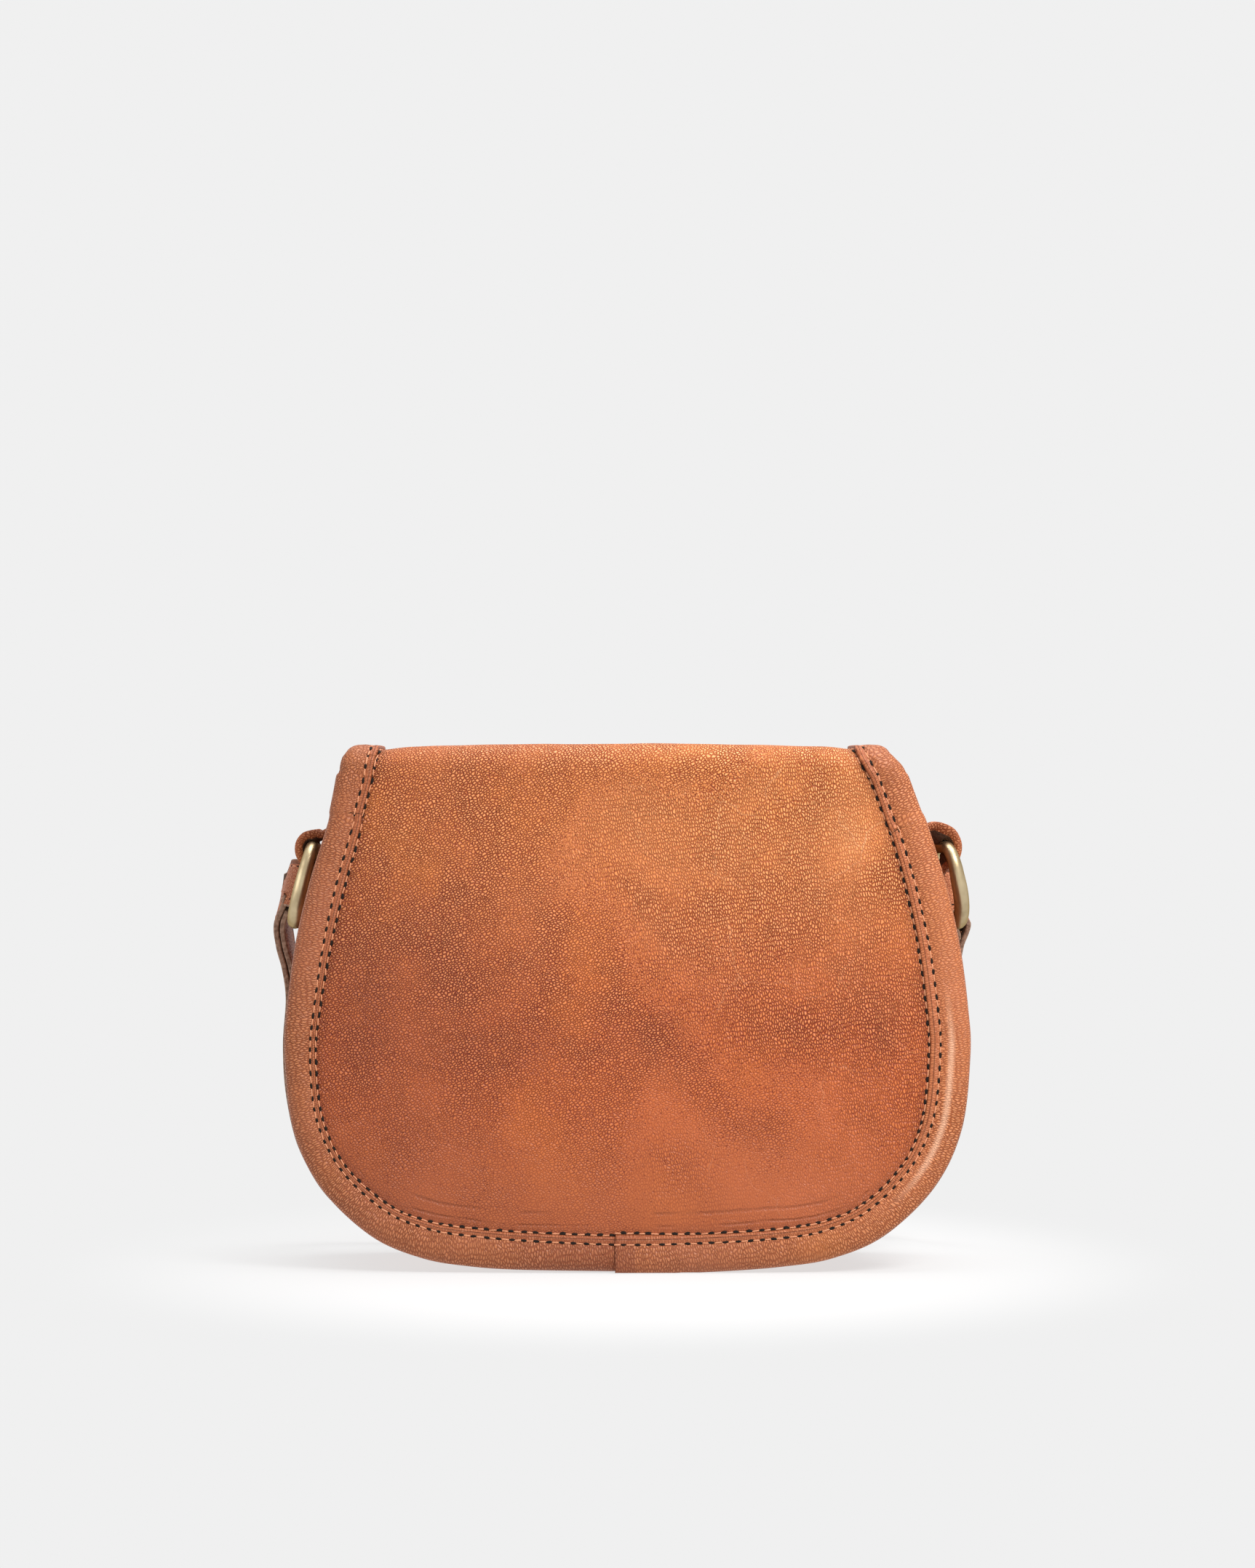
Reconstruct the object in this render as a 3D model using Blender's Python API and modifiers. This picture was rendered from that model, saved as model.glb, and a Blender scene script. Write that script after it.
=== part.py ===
"""Small saddle-shaped shoulder bag in goat leather, standing on the bindings of its two panels.

Metres, +Z up. The back of the bag faces -Y and the closing flap hangs on the +Y side. The origin
is the middle of the bag's footprint, on the surface that the bag stands on. The back panel runs on
over the top as the flap. The carrying strap is looped on two D-rings and laid in folds behind the flap.
"""
import math

import bmesh
import bpy
import numpy as np
from mathutils import Matrix

# Body of the bag
bag_width = 0.220
bag_height = 0.169
bottom_depth = 0.070
top_depth = 0.049
panel_crown = 0.0030
sole_flat = 0.0004

# Leather, lining and the gap between sewn layers
panel_leather = 0.0016
gusset_leather = 0.0016
binding_leather = 0.0009
lining_thickness = 0.0006
sewn_gap = 0.0003

# Seam where panel, gusset and binding are sewn together
seam_width = 0.0080
binding_cover = 0.0115
hinge_drop = 0.0082
mouth_drop = 0.0110

# Flap
fold_radius = 0.0080
flap_standoff = 0.0020
flap_top_share = 0.795
flap_side_margin = 0.0135
flap_bottom_height = 0.0320
hinge_offset = 0.0005

# Magnetic snap
snap_radius = 0.0075
snap_height = 0.0750
socket_depth = 0.0024
socket_bore_radius = 0.0027
stud_plate_depth = 0.0011
stud_nub_radius = 0.0016
stud_nub_depth = 0.0009
washer_radius = 0.0085
washer_depth = 0.0005

# D-rings and their leather tabs
ring_wire = 0.0050
ring_half_width = 0.0125
ring_drop = 0.0250
ring_corner = 0.0045
ring_lean = math.radians(15.5)
ring_bar_outboard = 0.0034
ring_bar_height_share = 0.803
tab_leather = 0.0020
tab_width = 0.0152
tab_slack = 0.0015
tab_rise = 0.0130
tab_fall = 0.0180
tab_foot = 0.0080
tab_bend_lift = 0.0009

# Strap and its folded ends on the rings
strap_width = 0.0186
strap_end_width = 0.0160
strap_leather = 0.0018
strap_fold_length = 0.0330
strap_gather_length = 0.0200
strap_loop_slack = 0.0031
strap_side_slack = 0.0009
strap_ring_angle = math.radians(55)

# Buckle and keeper, on the last fold of the laid strap
buckle_wire = 0.0030
buckle_length = 0.0170
buckle_margin = 0.0006
buckle_corner = 0.0025
buckle_x = 0.0050
buckle_fold_length = 0.0260
buckle_ease_length = 0.0130
prong_wire = 0.0020
prong_hole_length = 0.0110
prong_overhang = 0.0030
prong_slot_margin = 0.0006
prong_lift_room = 0.0003
size_hole_radius = 0.0014
size_hole_pitch = 0.0130
size_hole_first = 0.0090
keeper_leather = 0.0012
keeper_width = 0.0070
keeper_distance = 0.0160
tip_length = 0.0460

# Mesh detail, and where the offset of the outlines turns level, as shares of their height
level_start_share = 0.55
level_span_share = 0.30
least_outward_share = 0.5
strap_step = 0.0030
strap_fine_step = 0.0013
half_edge_steps = 26
roll_steps = 6
panel_ring_shares = (1.0, 0.8, 0.6, 0.4, 0.2)
lining_ring_shares = (1.0, 0.75, 0.5, 0.25)
flap_ring_shares = (1.0, 0.974, 0.948, 0.922, 0.7, 0.4)
overrun = 0.0020

# The bag's outline seen from the back, right half, bottom centre to top corner, as shares of half
# the width and of the height
bag_outline_shares = (
    (0.0, 0.0), (0.25, 0.005), (0.45, 0.0145), (0.60, 0.031), (0.75, 0.074), (0.895, 0.165),
    (0.9745, 0.275), (1.0, 0.414), (0.991, 0.50), (0.966, 0.621), (0.925, 0.74), (0.88, 0.853),
    (0.845, 0.908), (0.821, 0.9515), (0.80, 1.0),
)

# The flap's lower edge, right half, bottom centre up to the front fold, as shares of its largest half
# width and of its length below the fold. The last point's width is flap_top_half_width.
flap_outline_shares = (
    (0.0, 0.0), (0.25, 0.004), (0.45, 0.017), (0.62, 0.050), (0.78, 0.118), (0.90, 0.215),
    (0.965, 0.325), (0.995, 0.45), (1.0, 0.56), (0.985, 0.72), (0.955, 0.87),
)

# The strap's route, as points on the middle of the strap with the direction of its width. Both ends
# are given for the right side, with x counted from the bag's widest place; the left one is mirrored.
left_route = (
    ((0.0050, 0.0145, 0.1125), (-0.18, 0.73, 0.66)),
    ((0.0062, 0.0190, 0.1065), (-0.10, 0.85, 0.51)),
    ((0.0057, 0.0228, 0.0985), (-0.03, 0.92, 0.38)),
    ((0.0045, 0.0262, 0.0880), (0.0, 0.96, 0.28)),
    ((0.0036, 0.0305, 0.0720), (0.0, 0.94, 0.33)),
    ((0.0030, 0.0375, 0.0560), (0.0, 0.86, 0.50)),
    ((-0.0005, 0.0460, 0.0410), (0.0, 0.66, 0.75)),
    ((-0.0080, 0.0535, 0.0290), (0.0, 0.36, 0.93)),
    ((-0.0185, 0.0580, 0.0185), (0.0, 0.14, 0.99)),
    ((-0.0300, 0.0597, 0.0120), (0.0, 0.04, 1.0)),
    ((-0.0420, 0.0600, 0.0098), (0.0, 0.0, 1.0)),
)
right_route = (
    ((0.0022, 0.0160, 0.1120), (-0.20, 0.58, 0.79)),
    ((0.0016, 0.0212, 0.1050), (-0.12, 0.72, 0.68)),
    ((0.0012, 0.0265, 0.0960), (-0.04, 0.84, 0.54)),
    ((0.0018, 0.0315, 0.0860), (0.0, 0.88, 0.47)),
    ((0.0025, 0.0365, 0.0740), (0.0, 0.90, 0.43)),
    ((0.0026, 0.0420, 0.0600), (0.0, 0.88, 0.47)),
    ((-0.0005, 0.0480, 0.0460), (0.0, 0.72, 0.70)),
    ((-0.0065, 0.0560, 0.0340), (0.0, 0.44, 0.90)),
    ((-0.0135, 0.0655, 0.0235), (0.0, 0.20, 0.98)),
    ((-0.0195, 0.0765, 0.0160), (0.0, 0.06, 1.0)),
    ((-0.0250, 0.0880, 0.0118), (0.0, 0.0, 1.0)),
    ((-0.0330, 0.0990, 0.0100), (0.0, 0.0, 1.0)),
    ((-0.0440, 0.1060, 0.0102), (0.0, 0.0, 1.0)),
    ((-0.0560, 0.1080, 0.0118), (0.0, 0.0, 1.0)),
)
fold_first_y = 0.0600
fold_pitch = 0.0120
fold_turn_x = 0.0520
fold_count = 5
fold_rest_z = 0.0097
turn_bulge = 0.0024
turn_run = 0.0120

# Values worked out from the sizes above
half_width = bag_width / 2
hinge_height = bag_height - hinge_drop
mouth_height = bag_height - mouth_drop
flap_top_half_width = half_width * flap_top_share
flap_half_width = half_width - flap_side_margin
ring_bar_z = bag_height * ring_bar_height_share
roll_radius = (2 * binding_leather + panel_leather + gusset_leather + 3 * sewn_gap) / 2
flap_roll_radius = (2 * binding_leather + panel_leather + lining_thickness + 3 * sewn_gap) / 2
panel_face = binding_leather + sewn_gap
panel_back = panel_face + panel_leather
lining_face = panel_back + sewn_gap
lining_back = lining_face + lining_thickness
gusset_inner = seam_width + gusset_leather
flap_proud = 2 * flap_roll_radius + flap_standoff
depth_slope = (bottom_depth - top_depth) / 2 / bag_height
lean = math.atan(depth_slope)


def half_depth(z):
    """Distance from the bag's middle plane to the outer face of a binding at height z."""
    return bottom_depth / 2 - depth_slope * z


def crown(x, z):
    """How far the soft panels swell outwards at x, z: a low dome inside the bindings."""
    across = x / (half_width - binding_cover)
    middle = bag_height / 2
    along = (z - middle) / (middle - binding_cover)
    return panel_crown * np.clip(1 - across ** 2 - along ** 2, 0, None) ** 2


def unit(vectors):
    """Vectors along the last axis, scaled to length one."""
    vectors = np.asarray(vectors, dtype=float)
    return vectors / np.linalg.norm(vectors, axis=-1, keepdims=True)


def lengths_along(points):
    """Distance along a line of points, from its first one."""
    return np.concatenate([[0], np.cumsum(np.linalg.norm(np.diff(points, axis=0), axis=1))])


def smooth_curve(points, count, mirrored_start=False):
    """Catmull-Rom curve through the points, as count + 1 samples evenly spaced along its length.

    Columns after the third are carried along with the points.
    """
    points = np.asarray(points, dtype=float)
    before = 2 * points[0] - points[1]
    if mirrored_start:
        before = points[1] * np.array([-1.0, 1.0])
    after = 2 * points[-1] - points[-2]
    padded = np.vstack([before, points, after])
    t = np.linspace(0, 1, 24, endpoint=False)[:, None]
    pieces = []
    for p0, p1, p2, p3 in zip(padded, padded[1:], padded[2:], padded[3:]):
        cubic = (2 * p1 + (p2 - p0) * t + (2 * p0 - 5 * p1 + 4 * p2 - p3) * t ** 2
                 + (3 * p1 - p0 - 3 * p2 + p3) * t ** 3) / 2
        pieces.append(cubic)
    dense = np.vstack(pieces + [points[-1:]])
    length = lengths_along(dense[:, :3])
    wanted = np.linspace(0, length[-1], count + 1)
    return np.column_stack([np.interp(wanted, length, column) for column in dense.T])


def half_edge(points):
    """Right half of an outline from its bottom centre up, as rows of x, height and outward offset.

    The offset turns level towards the top, so that every layer of the seam ends at one height.
    """
    curve = smooth_curve(points, half_edge_steps, mirrored_start=True)
    along = unit(np.gradient(curve, axis=0))
    along[0] = (1, 0)
    outward = np.column_stack([along[:, 1], -along[:, 0]])
    level_share = (curve[:, 1] / curve[-1, 1] - level_start_share) / level_span_share
    level_share = np.clip(level_share, 0, 1)[:, None]
    level = np.column_stack([1 / np.maximum(outward[:, 0], least_outward_share), 0 * outward[:, 0]])
    return np.hstack([curve, outward * (1 - level_share) + level * level_share])


def cut_at(edge, height):
    """The rows of a half edge up to a height, ended by a row at that height."""
    last = np.array([np.interp(height, edge[:, 1], column) for column in edge.T])
    lower = edge[edge[:, 1] < height - sewn_gap]
    return np.vstack([lower, last])


def both_sides(edge):
    """A half edge joined to its mirror image, from the left top round the bottom to the right top."""
    mirrored = edge[::-1] * np.array([-1, 1, -1, 1])
    return np.vstack([mirrored, edge[1:]])


bag_edge = half_edge(np.array(bag_outline_shares) * (half_width, bag_height))
ring_bar_x = float(np.interp(ring_bar_z, bag_edge[:, 1], bag_edge[:, 0])) + ring_bar_outboard

# Side view of the flap's outer face: up from the hinge line, over the top and down the front
back_arc_y = fold_radius * math.cos(lean) - half_depth(bag_height - fold_radius * (1 - math.sin(lean)))
front_arc_y = (half_depth(bag_height - fold_radius * (1 - math.sin(lean))) + flap_proud
               - fold_radius * math.cos(lean))
arc_z = bag_height - fold_radius
back_angles = np.linspace(math.pi - lean, math.pi / 2, 12)
front_angles = np.linspace(math.pi / 2, lean, 12)
front_heights = np.linspace(arc_z, flap_bottom_height, 30)[1:]
profile_y = np.concatenate([
    [-half_depth(hinge_height)],
    back_arc_y + fold_radius * np.cos(back_angles),
    front_arc_y + fold_radius * np.cos(front_angles),
    half_depth(front_heights) + flap_proud,
])
profile_z = np.concatenate([
    [hinge_height],
    arc_z + fold_radius * np.sin(back_angles),
    arc_z + fold_radius * np.sin(front_angles),
    front_heights,
])
profile_angle = np.concatenate([
    [math.pi - lean], back_angles, front_angles, np.full(len(front_heights), lean)])
profile_length = lengths_along(np.column_stack([profile_y, profile_z]))
flap_end = profile_length[-1]
fold_at = float(np.interp(-math.pi / 4, -profile_angle, profile_length))
front_start = float(profile_length[len(back_angles) + len(front_angles)])

# The flap stands prouder than the back, so the bag's middle plane lies a little behind the origin
front_reach = float(np.max(profile_y + crown(0 * profile_z, profile_z)))
middle_y = -(front_reach - bottom_depth / 2) / 2


def seam_point(edge, outward, side, inward):
    """Points on the seam: outward from the outline and inward from one side's outer face."""
    x = edge[:, 0] + outward * edge[:, 2]
    z = edge[:, 1] + outward * edge[:, 3]
    y = middle_y + side * (half_depth(z) - inward)
    return np.column_stack([x, y, np.maximum(z, sole_flat) - sole_flat])


def panel_point(x, z, side, inward):
    """Points on a panel's plane with its crown, inward from the outer face of the binding."""
    y = middle_y + side * (half_depth(z) - inward + crown(x, z))
    return np.stack([x, y, z - sole_flat], axis=-1)


def flap_point(x, along, inward):
    """Points on the flap, from its unrolled x and length along, inward from its outer face."""
    angle = np.interp(along, profile_length, profile_angle)
    y = np.interp(along, profile_length, profile_y) - inward * np.cos(angle)
    z = np.interp(along, profile_length, profile_z) - inward * np.sin(angle)
    front_share = np.clip((along - fold_at) / (front_start - fold_at), 0, 1)
    y = y + crown(x, z) * front_share
    return np.stack([x, y + middle_y, z - sole_flat], axis=-1)


def clear_scene():
    for thing in list(bpy.data.objects):
        bpy.data.objects.remove(thing, do_unlink=True)
    for name in ("leather_shoulder_bag", "cutters"):
        bpy.context.scene.collection.children.link(bpy.data.collections.new(name))


def finish_material(name, colour, roughness, metallic=0.0):
    """A plain Principled material in a linear colour."""
    material = bpy.data.materials.new(name)
    material.use_nodes = True
    shader = material.node_tree.nodes["Principled BSDF"]
    shader.inputs["Base Color"].default_value = (*colour, 1)
    shader.inputs["Roughness"].default_value = roughness
    shader.inputs["Metallic"].default_value = metallic
    return material


def add_object(name, data, material, collection="leather_shoulder_bag"):
    thing = bpy.data.objects.new(name, data)
    bpy.data.collections[collection].objects.link(thing)
    if material:
        data.materials.append(material)
    return thing


def mesh_object(name, shape, material, collection="leather_shoulder_bag"):
    """An object from a bmesh with its faces turned outwards."""
    bmesh.ops.recalc_face_normals(shape, faces=shape.faces)
    data = bpy.data.meshes.new(name)
    shape.to_mesh(data)
    shape.free()
    return add_object(name, data, material, collection)


def shell(name, outer, inner, material, ring=False):
    """A closed solid between two grids of points, outer and inner, with rims along their borders.

    With ring set, the grids' columns close on themselves and only their ends have rims.
    """
    shape = bmesh.new()
    rows, columns = outer.shape[:2]
    out = [[shape.verts.new(p) for p in row] for row in outer]
    into = [[shape.verts.new(p) for p in row] for row in inner]
    spans = [(j, (j + 1) % columns) for j in range(columns if ring else columns - 1)]
    for i in range(rows - 1):
        for j, k in spans:
            shape.faces.new((out[i][j], out[i][k], out[i + 1][k], out[i + 1][j]))
            shape.faces.new((into[i][j], into[i + 1][j], into[i + 1][k], into[i][k]))
        if not ring:
            shape.faces.new((out[i][0], out[i + 1][0], into[i + 1][0], into[i][0]))
            shape.faces.new((out[i][-1], into[i][-1], into[i + 1][-1], out[i + 1][-1]))
    for j, k in spans:
        shape.faces.new((out[0][j], into[0][j], into[0][k], out[0][k]))
        shape.faces.new((out[-1][j], out[-1][k], into[-1][k], into[-1][j]))
    return mesh_object(name, shape, material)


def disc_shell(name, border, centre, ring_shares, place, material):
    """A closed sheet inside a flat border, as rings round a centre; place(x, z, face) gives each face."""
    shape = bmesh.new()
    faces = []
    for face in (0, 1):
        rings = []
        for share in ring_shares:
            flat = centre + (border - centre) * share
            rings.append([shape.verts.new(p) for p in place(flat[:, 0], flat[:, 1], face)])
        middle = place(np.array([centre[0]]), np.array([centre[1]]), face)[0]
        pole = shape.verts.new(middle)
        faces.append((rings, pole))
    count = len(border)
    for rings, pole in faces:
        for first, second in zip(rings, rings[1:]):
            for j in range(count):
                k = (j + 1) % count
                shape.faces.new((first[j], first[k], second[k], second[j]))
        for j in range(count):
            shape.faces.new((rings[-1][j], rings[-1][(j + 1) % count], pole))
    outer_rim, inner_rim = faces[0][0][0], faces[1][0][0]
    for j in range(count):
        k = (j + 1) % count
        shape.faces.new((outer_rim[j], inner_rim[j], inner_rim[k], outer_rim[k]))
    return mesh_object(name, shape, material)


def wire_object(name, points, radius, material, cyclic=False, resolution=4):
    """A round wire along straight steps between points, as a bevelled curve with filled ends."""
    data = bpy.data.curves.new(name, "CURVE")
    data.dimensions = "3D"
    data.bevel_depth = radius
    data.bevel_resolution = resolution
    data.use_fill_caps = True
    spline = data.splines.new("POLY")
    spline.points.add(len(points) - 1)
    for item, point in zip(spline.points, points):
        item.co = (*point, 1)
    spline.use_cyclic_u = cyclic
    return add_object(name, data, material)


def turned_object(name, radii_and_heights, material):
    """A solid of revolution about its own Z axis, from a profile on +X that closes on the axis or on itself."""
    data = bpy.data.meshes.new(name)
    count = len(radii_and_heights)
    points = [(radius, 0, height) for radius, height in radii_and_heights]
    edges = [(i, i + 1) for i in range(count - 1)]
    data.from_pydata(points, edges, [])
    thing = add_object(name, data, material)
    turning = thing.modifiers.new("turning", "SCREW")
    turning.steps = 24
    turning.render_steps = 24
    turning.use_merge_vertices = True
    turning.merge_threshold = 0.00001
    return thing


def binding_profile(radius, cover, inner_leg):
    """Outer and inner lines of a binding wrapped round an edge, as outward and inward distances."""
    turn = np.linspace(-math.pi / 2, math.pi / 2, roll_steps + 1)
    outer = [(-cover, 0.0)]
    outer += [(radius * (math.cos(a) - 1), radius * (1 + math.sin(a))) for a in turn]
    outer += [(-inner_leg, 2 * radius)]
    small = radius - binding_leather
    inner = [(-cover, binding_leather)]
    inner += [(small * math.cos(a) - radius, radius + small * math.sin(a)) for a in turn]
    inner += [(-inner_leg, 2 * radius - binding_leather)]
    return outer, inner


def body_binding(name, side, height, material):
    """Binding along the seam of one panel, from one top corner round the bottom to the other."""
    edge = both_sides(cut_at(bag_edge, height))
    outer, inner = binding_profile(roll_radius, binding_cover, seam_width - sewn_gap)
    grids = [np.stack([seam_point(edge, a, side, b) for a, b in line], axis=1) for line in (outer, inner)]
    return shell(name, *grids, material)


def gusset(material):
    """Strip round the sides and bottom with a flange sewn to each panel."""
    edge = both_sides(cut_at(bag_edge, mouth_height))
    flange = panel_back + sewn_gap
    outer = ((-roll_radius, -1, flange + gusset_leather), (-seam_width, -1, flange + gusset_leather),
             (-seam_width, 1, flange + gusset_leather), (-roll_radius, 1, flange + gusset_leather))
    inner = ((-roll_radius, -1, flange), (-gusset_inner, -1, flange),
             (-gusset_inner, 1, flange), (-roll_radius, 1, flange))
    grids = [np.stack([seam_point(edge, a, s, b) for a, s, b in line], axis=1) for line in (outer, inner)]
    return shell("gusset", *grids, material)


def gusset_lining(material):
    """Fabric strip inside the gusset, between the linings of the two panels."""
    edge = both_sides(cut_at(bag_edge, mouth_height - sewn_gap))
    face = gusset_inner + sewn_gap
    inward = lining_back + sewn_gap
    outer = ((-face, -1, inward), (-face, 1, inward))
    inner = ((-face - lining_thickness, -1, inward), (-face - lining_thickness, 1, inward))
    grids = [np.stack([seam_point(edge, a, s, b) for a, s, b in line], axis=1) for line in (outer, inner)]
    return shell("gusset_lining", *grids, material)


def panel(name, side, height, outward, faces, ring_shares, material):
    """A panel or its lining: the bag's outline drawn in by outward, level at the top."""
    edge = both_sides(cut_at(bag_edge, height))
    border = edge[:, :2] + outward * edge[:, 2:]
    top = np.linspace(border[-1], border[0], 14)[1:-1]
    centre = np.array([0, bag_height / 2])

    def place(x, z, face):
        return panel_point(x, z, side, faces[face])

    return disc_shell(name, np.vstack([border, top]), centre, ring_shares, place, material)


def body_pieces(leather, lining):
    back_height = hinge_height - sewn_gap
    inside = -gusset_inner - sewn_gap
    for name, side, height in (("back", -1, back_height), ("front", 1, mouth_height)):
        panel(f"{name}_panel", side, height, -roll_radius, (panel_face, panel_back),
              panel_ring_shares, leather)
        panel(f"{name}_lining", side, height, inside, (lining_face, lining_back),
              lining_ring_shares, lining)
    gusset(leather)
    gusset_lining(lining)
    body_binding("back_binding", -1, back_height, leather)
    body_binding("front_binding", 1, mouth_height, leather)


def top_half_width(along):
    """Half width of the flap's top part at a length along the flap."""
    start = np.interp(hinge_height, bag_edge[:, 1], bag_edge[:, 0])
    share = np.clip(along / (fold_radius * math.pi / 2), 0, 1)
    return start + (flap_top_half_width - start) * share


def flap_edge():
    """Right half of the flap's lower edge, bottom centre up to the fold, in the flap's own plane."""
    length = flap_end - fold_at - sewn_gap / 2
    points = [(flap_half_width * x, length * z) for x, z in flap_outline_shares]
    points.append((flap_top_half_width, length))
    edge = half_edge(points)
    heights = np.linspace(length - (front_start - fold_at), length, 6)
    bend = np.column_stack([np.interp(heights, edge[:, 1], column) for column in edge.T])
    return np.vstack([edge[edge[:, 1] < heights[0] - sewn_gap], bend])


def flap_top_sheet(name, faces, inset, material):
    """A layer of the flap's top part, between the hinge line and the front fold."""
    along = np.linspace(sewn_gap / 2, fold_at - sewn_gap / 2, 25)[:, None]
    across = np.linspace(-1, 1, 9)[None, :] * (top_half_width(along) - inset)
    grids = [flap_point(across, along + 0 * across, face) for face in faces]
    return shell(name, *grids, material)


def flap_front_sheet(name, faces, inset, material):
    """A layer of the flap's front part, below the front fold."""
    edge = both_sides(flap_edge())
    border = edge[:, :2] - inset * edge[:, 2:]
    top = np.linspace(border[-1], border[0], 14)[1:-1]
    centre = np.array([0, (flap_end - fold_at) / 2])

    def place(x, height, face):
        return flap_point(x, flap_end - height, faces[face])

    return disc_shell(name, np.vstack([border, top]), centre, flap_ring_shares, place, material)


def flap_bindings(material):
    """Binding round the flap: one strip on each side of the top and one round the front."""
    outer, inner = binding_profile(flap_roll_radius, binding_cover, binding_cover)
    along = np.linspace(sewn_gap / 2, fold_at - sewn_gap / 2, 25)
    for side, word in ((-1, "left"), (1, "right")):
        width = top_half_width(along)
        grids = [np.stack([flap_point(side * (width + a), along, b) for a, b in line], axis=1)
                 for line in (outer, inner)]
        shell(f"flap_top_binding_{word}", *grids, material)
    edge = both_sides(flap_edge())
    grids = [np.stack([flap_point(edge[:, 0] + a * edge[:, 2], flap_end - edge[:, 1] - a * edge[:, 3], b)
                       for a, b in line], axis=1) for line in (outer, inner)]
    shell("flap_front_binding", *grids, material)


def snap_pieces(metal):
    """Magnetic snap: a socket and its washer on the front panel, a stud on the flap's lining."""
    tilt = (-math.pi / 2 + lean, 0, 0)
    base = panel_point(np.array([0.0]), np.array([snap_height]), 1, 0.0)[0]
    normal = np.array([0, math.cos(lean), math.sin(lean)])
    seat = -panel_face + sewn_gap
    socket = turned_object("snap_socket", (
        (socket_bore_radius, socket_depth), (snap_radius, socket_depth), (snap_radius, 0),
        (socket_bore_radius, 0), (socket_bore_radius, socket_depth)), metal)
    stud_top = flap_proud - lining_back - sewn_gap
    stud = turned_object("snap_stud", (
        (0, stud_plate_depth), (snap_radius, stud_plate_depth), (snap_radius, 0),
        (stud_nub_radius, 0), (stud_nub_radius, -stud_nub_depth), (0, -stud_nub_depth)), metal)
    washer_seat = -lining_back - 2 * sewn_gap - washer_depth
    washer = turned_object("snap_washer", (
        (0, washer_depth), (washer_radius, washer_depth), (washer_radius, 0), (0, 0)), metal)
    for thing, offset in ((socket, seat), (stud, stud_top - stud_plate_depth), (washer, washer_seat)):
        thing.rotation_euler = tilt
        thing.location = base + normal * offset


def wall_point(z, lift=0.0):
    """Centre line of a tab's foot on the gusset wall at height z, lifted off it, as x and z."""
    row = np.array([np.interp(z, bag_edge[:, 1], column) for column in bag_edge.T])
    away = -seam_width + 2 * sewn_gap + tab_leather / 2 + lift
    return np.array([row[0] + away * row[2], row[1] + away * row[3] - sole_flat])


def tabs_and_rings(leather, metal):
    """Leather tab arched round the bar of each D-ring, and the ring hanging in it."""
    bar = np.array([ring_bar_x, ring_bar_z])
    arch = ring_wire / 2 + tab_slack + tab_leather / 2
    turns = np.radians((105, 62, 20, -22, -60))
    points = [wall_point(ring_bar_z + tab_rise + tab_foot),
              wall_point(ring_bar_z + tab_rise, tab_bend_lift)]
    points += [bar + arch * np.array([math.cos(a), math.sin(a)]) for a in turns]
    points += [wall_point(ring_bar_z - tab_fall, tab_bend_lift),
               wall_point(ring_bar_z - tab_fall - tab_foot)]
    curve = smooth_curve(points, 34)
    along = unit(np.gradient(curve, axis=0))
    away = np.column_stack([-along[:, 1], along[:, 0]])
    corners = np.array([-tab_width / 2, tab_width / 2])
    straight = ring_half_width - ring_corner
    corner_turn = np.linspace(0, math.pi / 2, 5)
    bow_turn = np.linspace(0, math.pi, 17)
    bow_centre = ring_drop - ring_half_width
    ring = [(-straight, 0), (0, 0)]
    ring += [(straight + ring_corner * math.sin(a), -ring_corner * (1 - math.cos(a))) for a in corner_turn]
    ring += [(ring_half_width * math.cos(a), -bow_centre - ring_half_width * math.sin(a)) for a in bow_turn]
    ring += [(-straight - ring_corner * math.cos(a), -ring_corner * (1 - math.sin(a)))
             for a in corner_turn[:-1]]
    for side, word in ((-1, "left"), (1, "right")):
        grids = []
        for sign in (1, -1):
            line = curve + sign * away * tab_leather / 2
            grid = np.stack([np.column_stack([side * line[:, 0], np.full(len(line), middle_y + w), line[:, 1]])
                             for w in corners], axis=1)
            grids.append(grid)
        shell(f"ring_tab_{word}", *grids, leather)
        ring_object = wire_object(f"d_ring_{word}", [(0, y, z) for y, z in ring], ring_wire / 2, metal, True)
        ring_object.location = (side * ring_bar_x, middle_y, ring_bar_z)
        ring_object.rotation_euler = (0, -side * ring_lean, 0)


def ring_contact(side):
    """Where the strap hangs on a ring's bow: the wire's centre, its direction, and the outboard side."""
    drop = np.array([side * math.sin(ring_lean), 0, -math.cos(ring_lean)])
    turn = strap_ring_angle
    centre = np.array([side * ring_bar_x, middle_y + ring_half_width * math.sin(turn), ring_bar_z])
    centre = centre + drop * (ring_drop - ring_half_width * (1 - math.cos(turn)))
    along = np.array([0, math.cos(turn), 0]) - math.sin(turn) * drop
    return centre, along, np.array([side * math.cos(ring_lean), 0, math.sin(ring_lean)])


def loop_reach():
    """Distance from the ring's wire to the middle of the strap beside it."""
    return ring_wire / 2 + sewn_gap + strap_side_slack + strap_leather / 2


def strap_band(name, points, widths, thickness, width, material):
    """A flat band along points, with its width along the given directions; width may vary."""
    along = unit(np.gradient(points, axis=0))
    across = widths - along * np.sum(widths * along, axis=1, keepdims=True)
    across = unit(across)
    normal = np.cross(along, across)
    half = np.broadcast_to(np.asarray(width, dtype=float) / 2, len(points))[:, None]
    grids = []
    for sign in (1, -1):
        face = points + sign * normal * thickness / 2
        grids.append(np.stack([face - across * half, face + across * half], axis=1))
    return shell(name, *grids, material)


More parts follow.
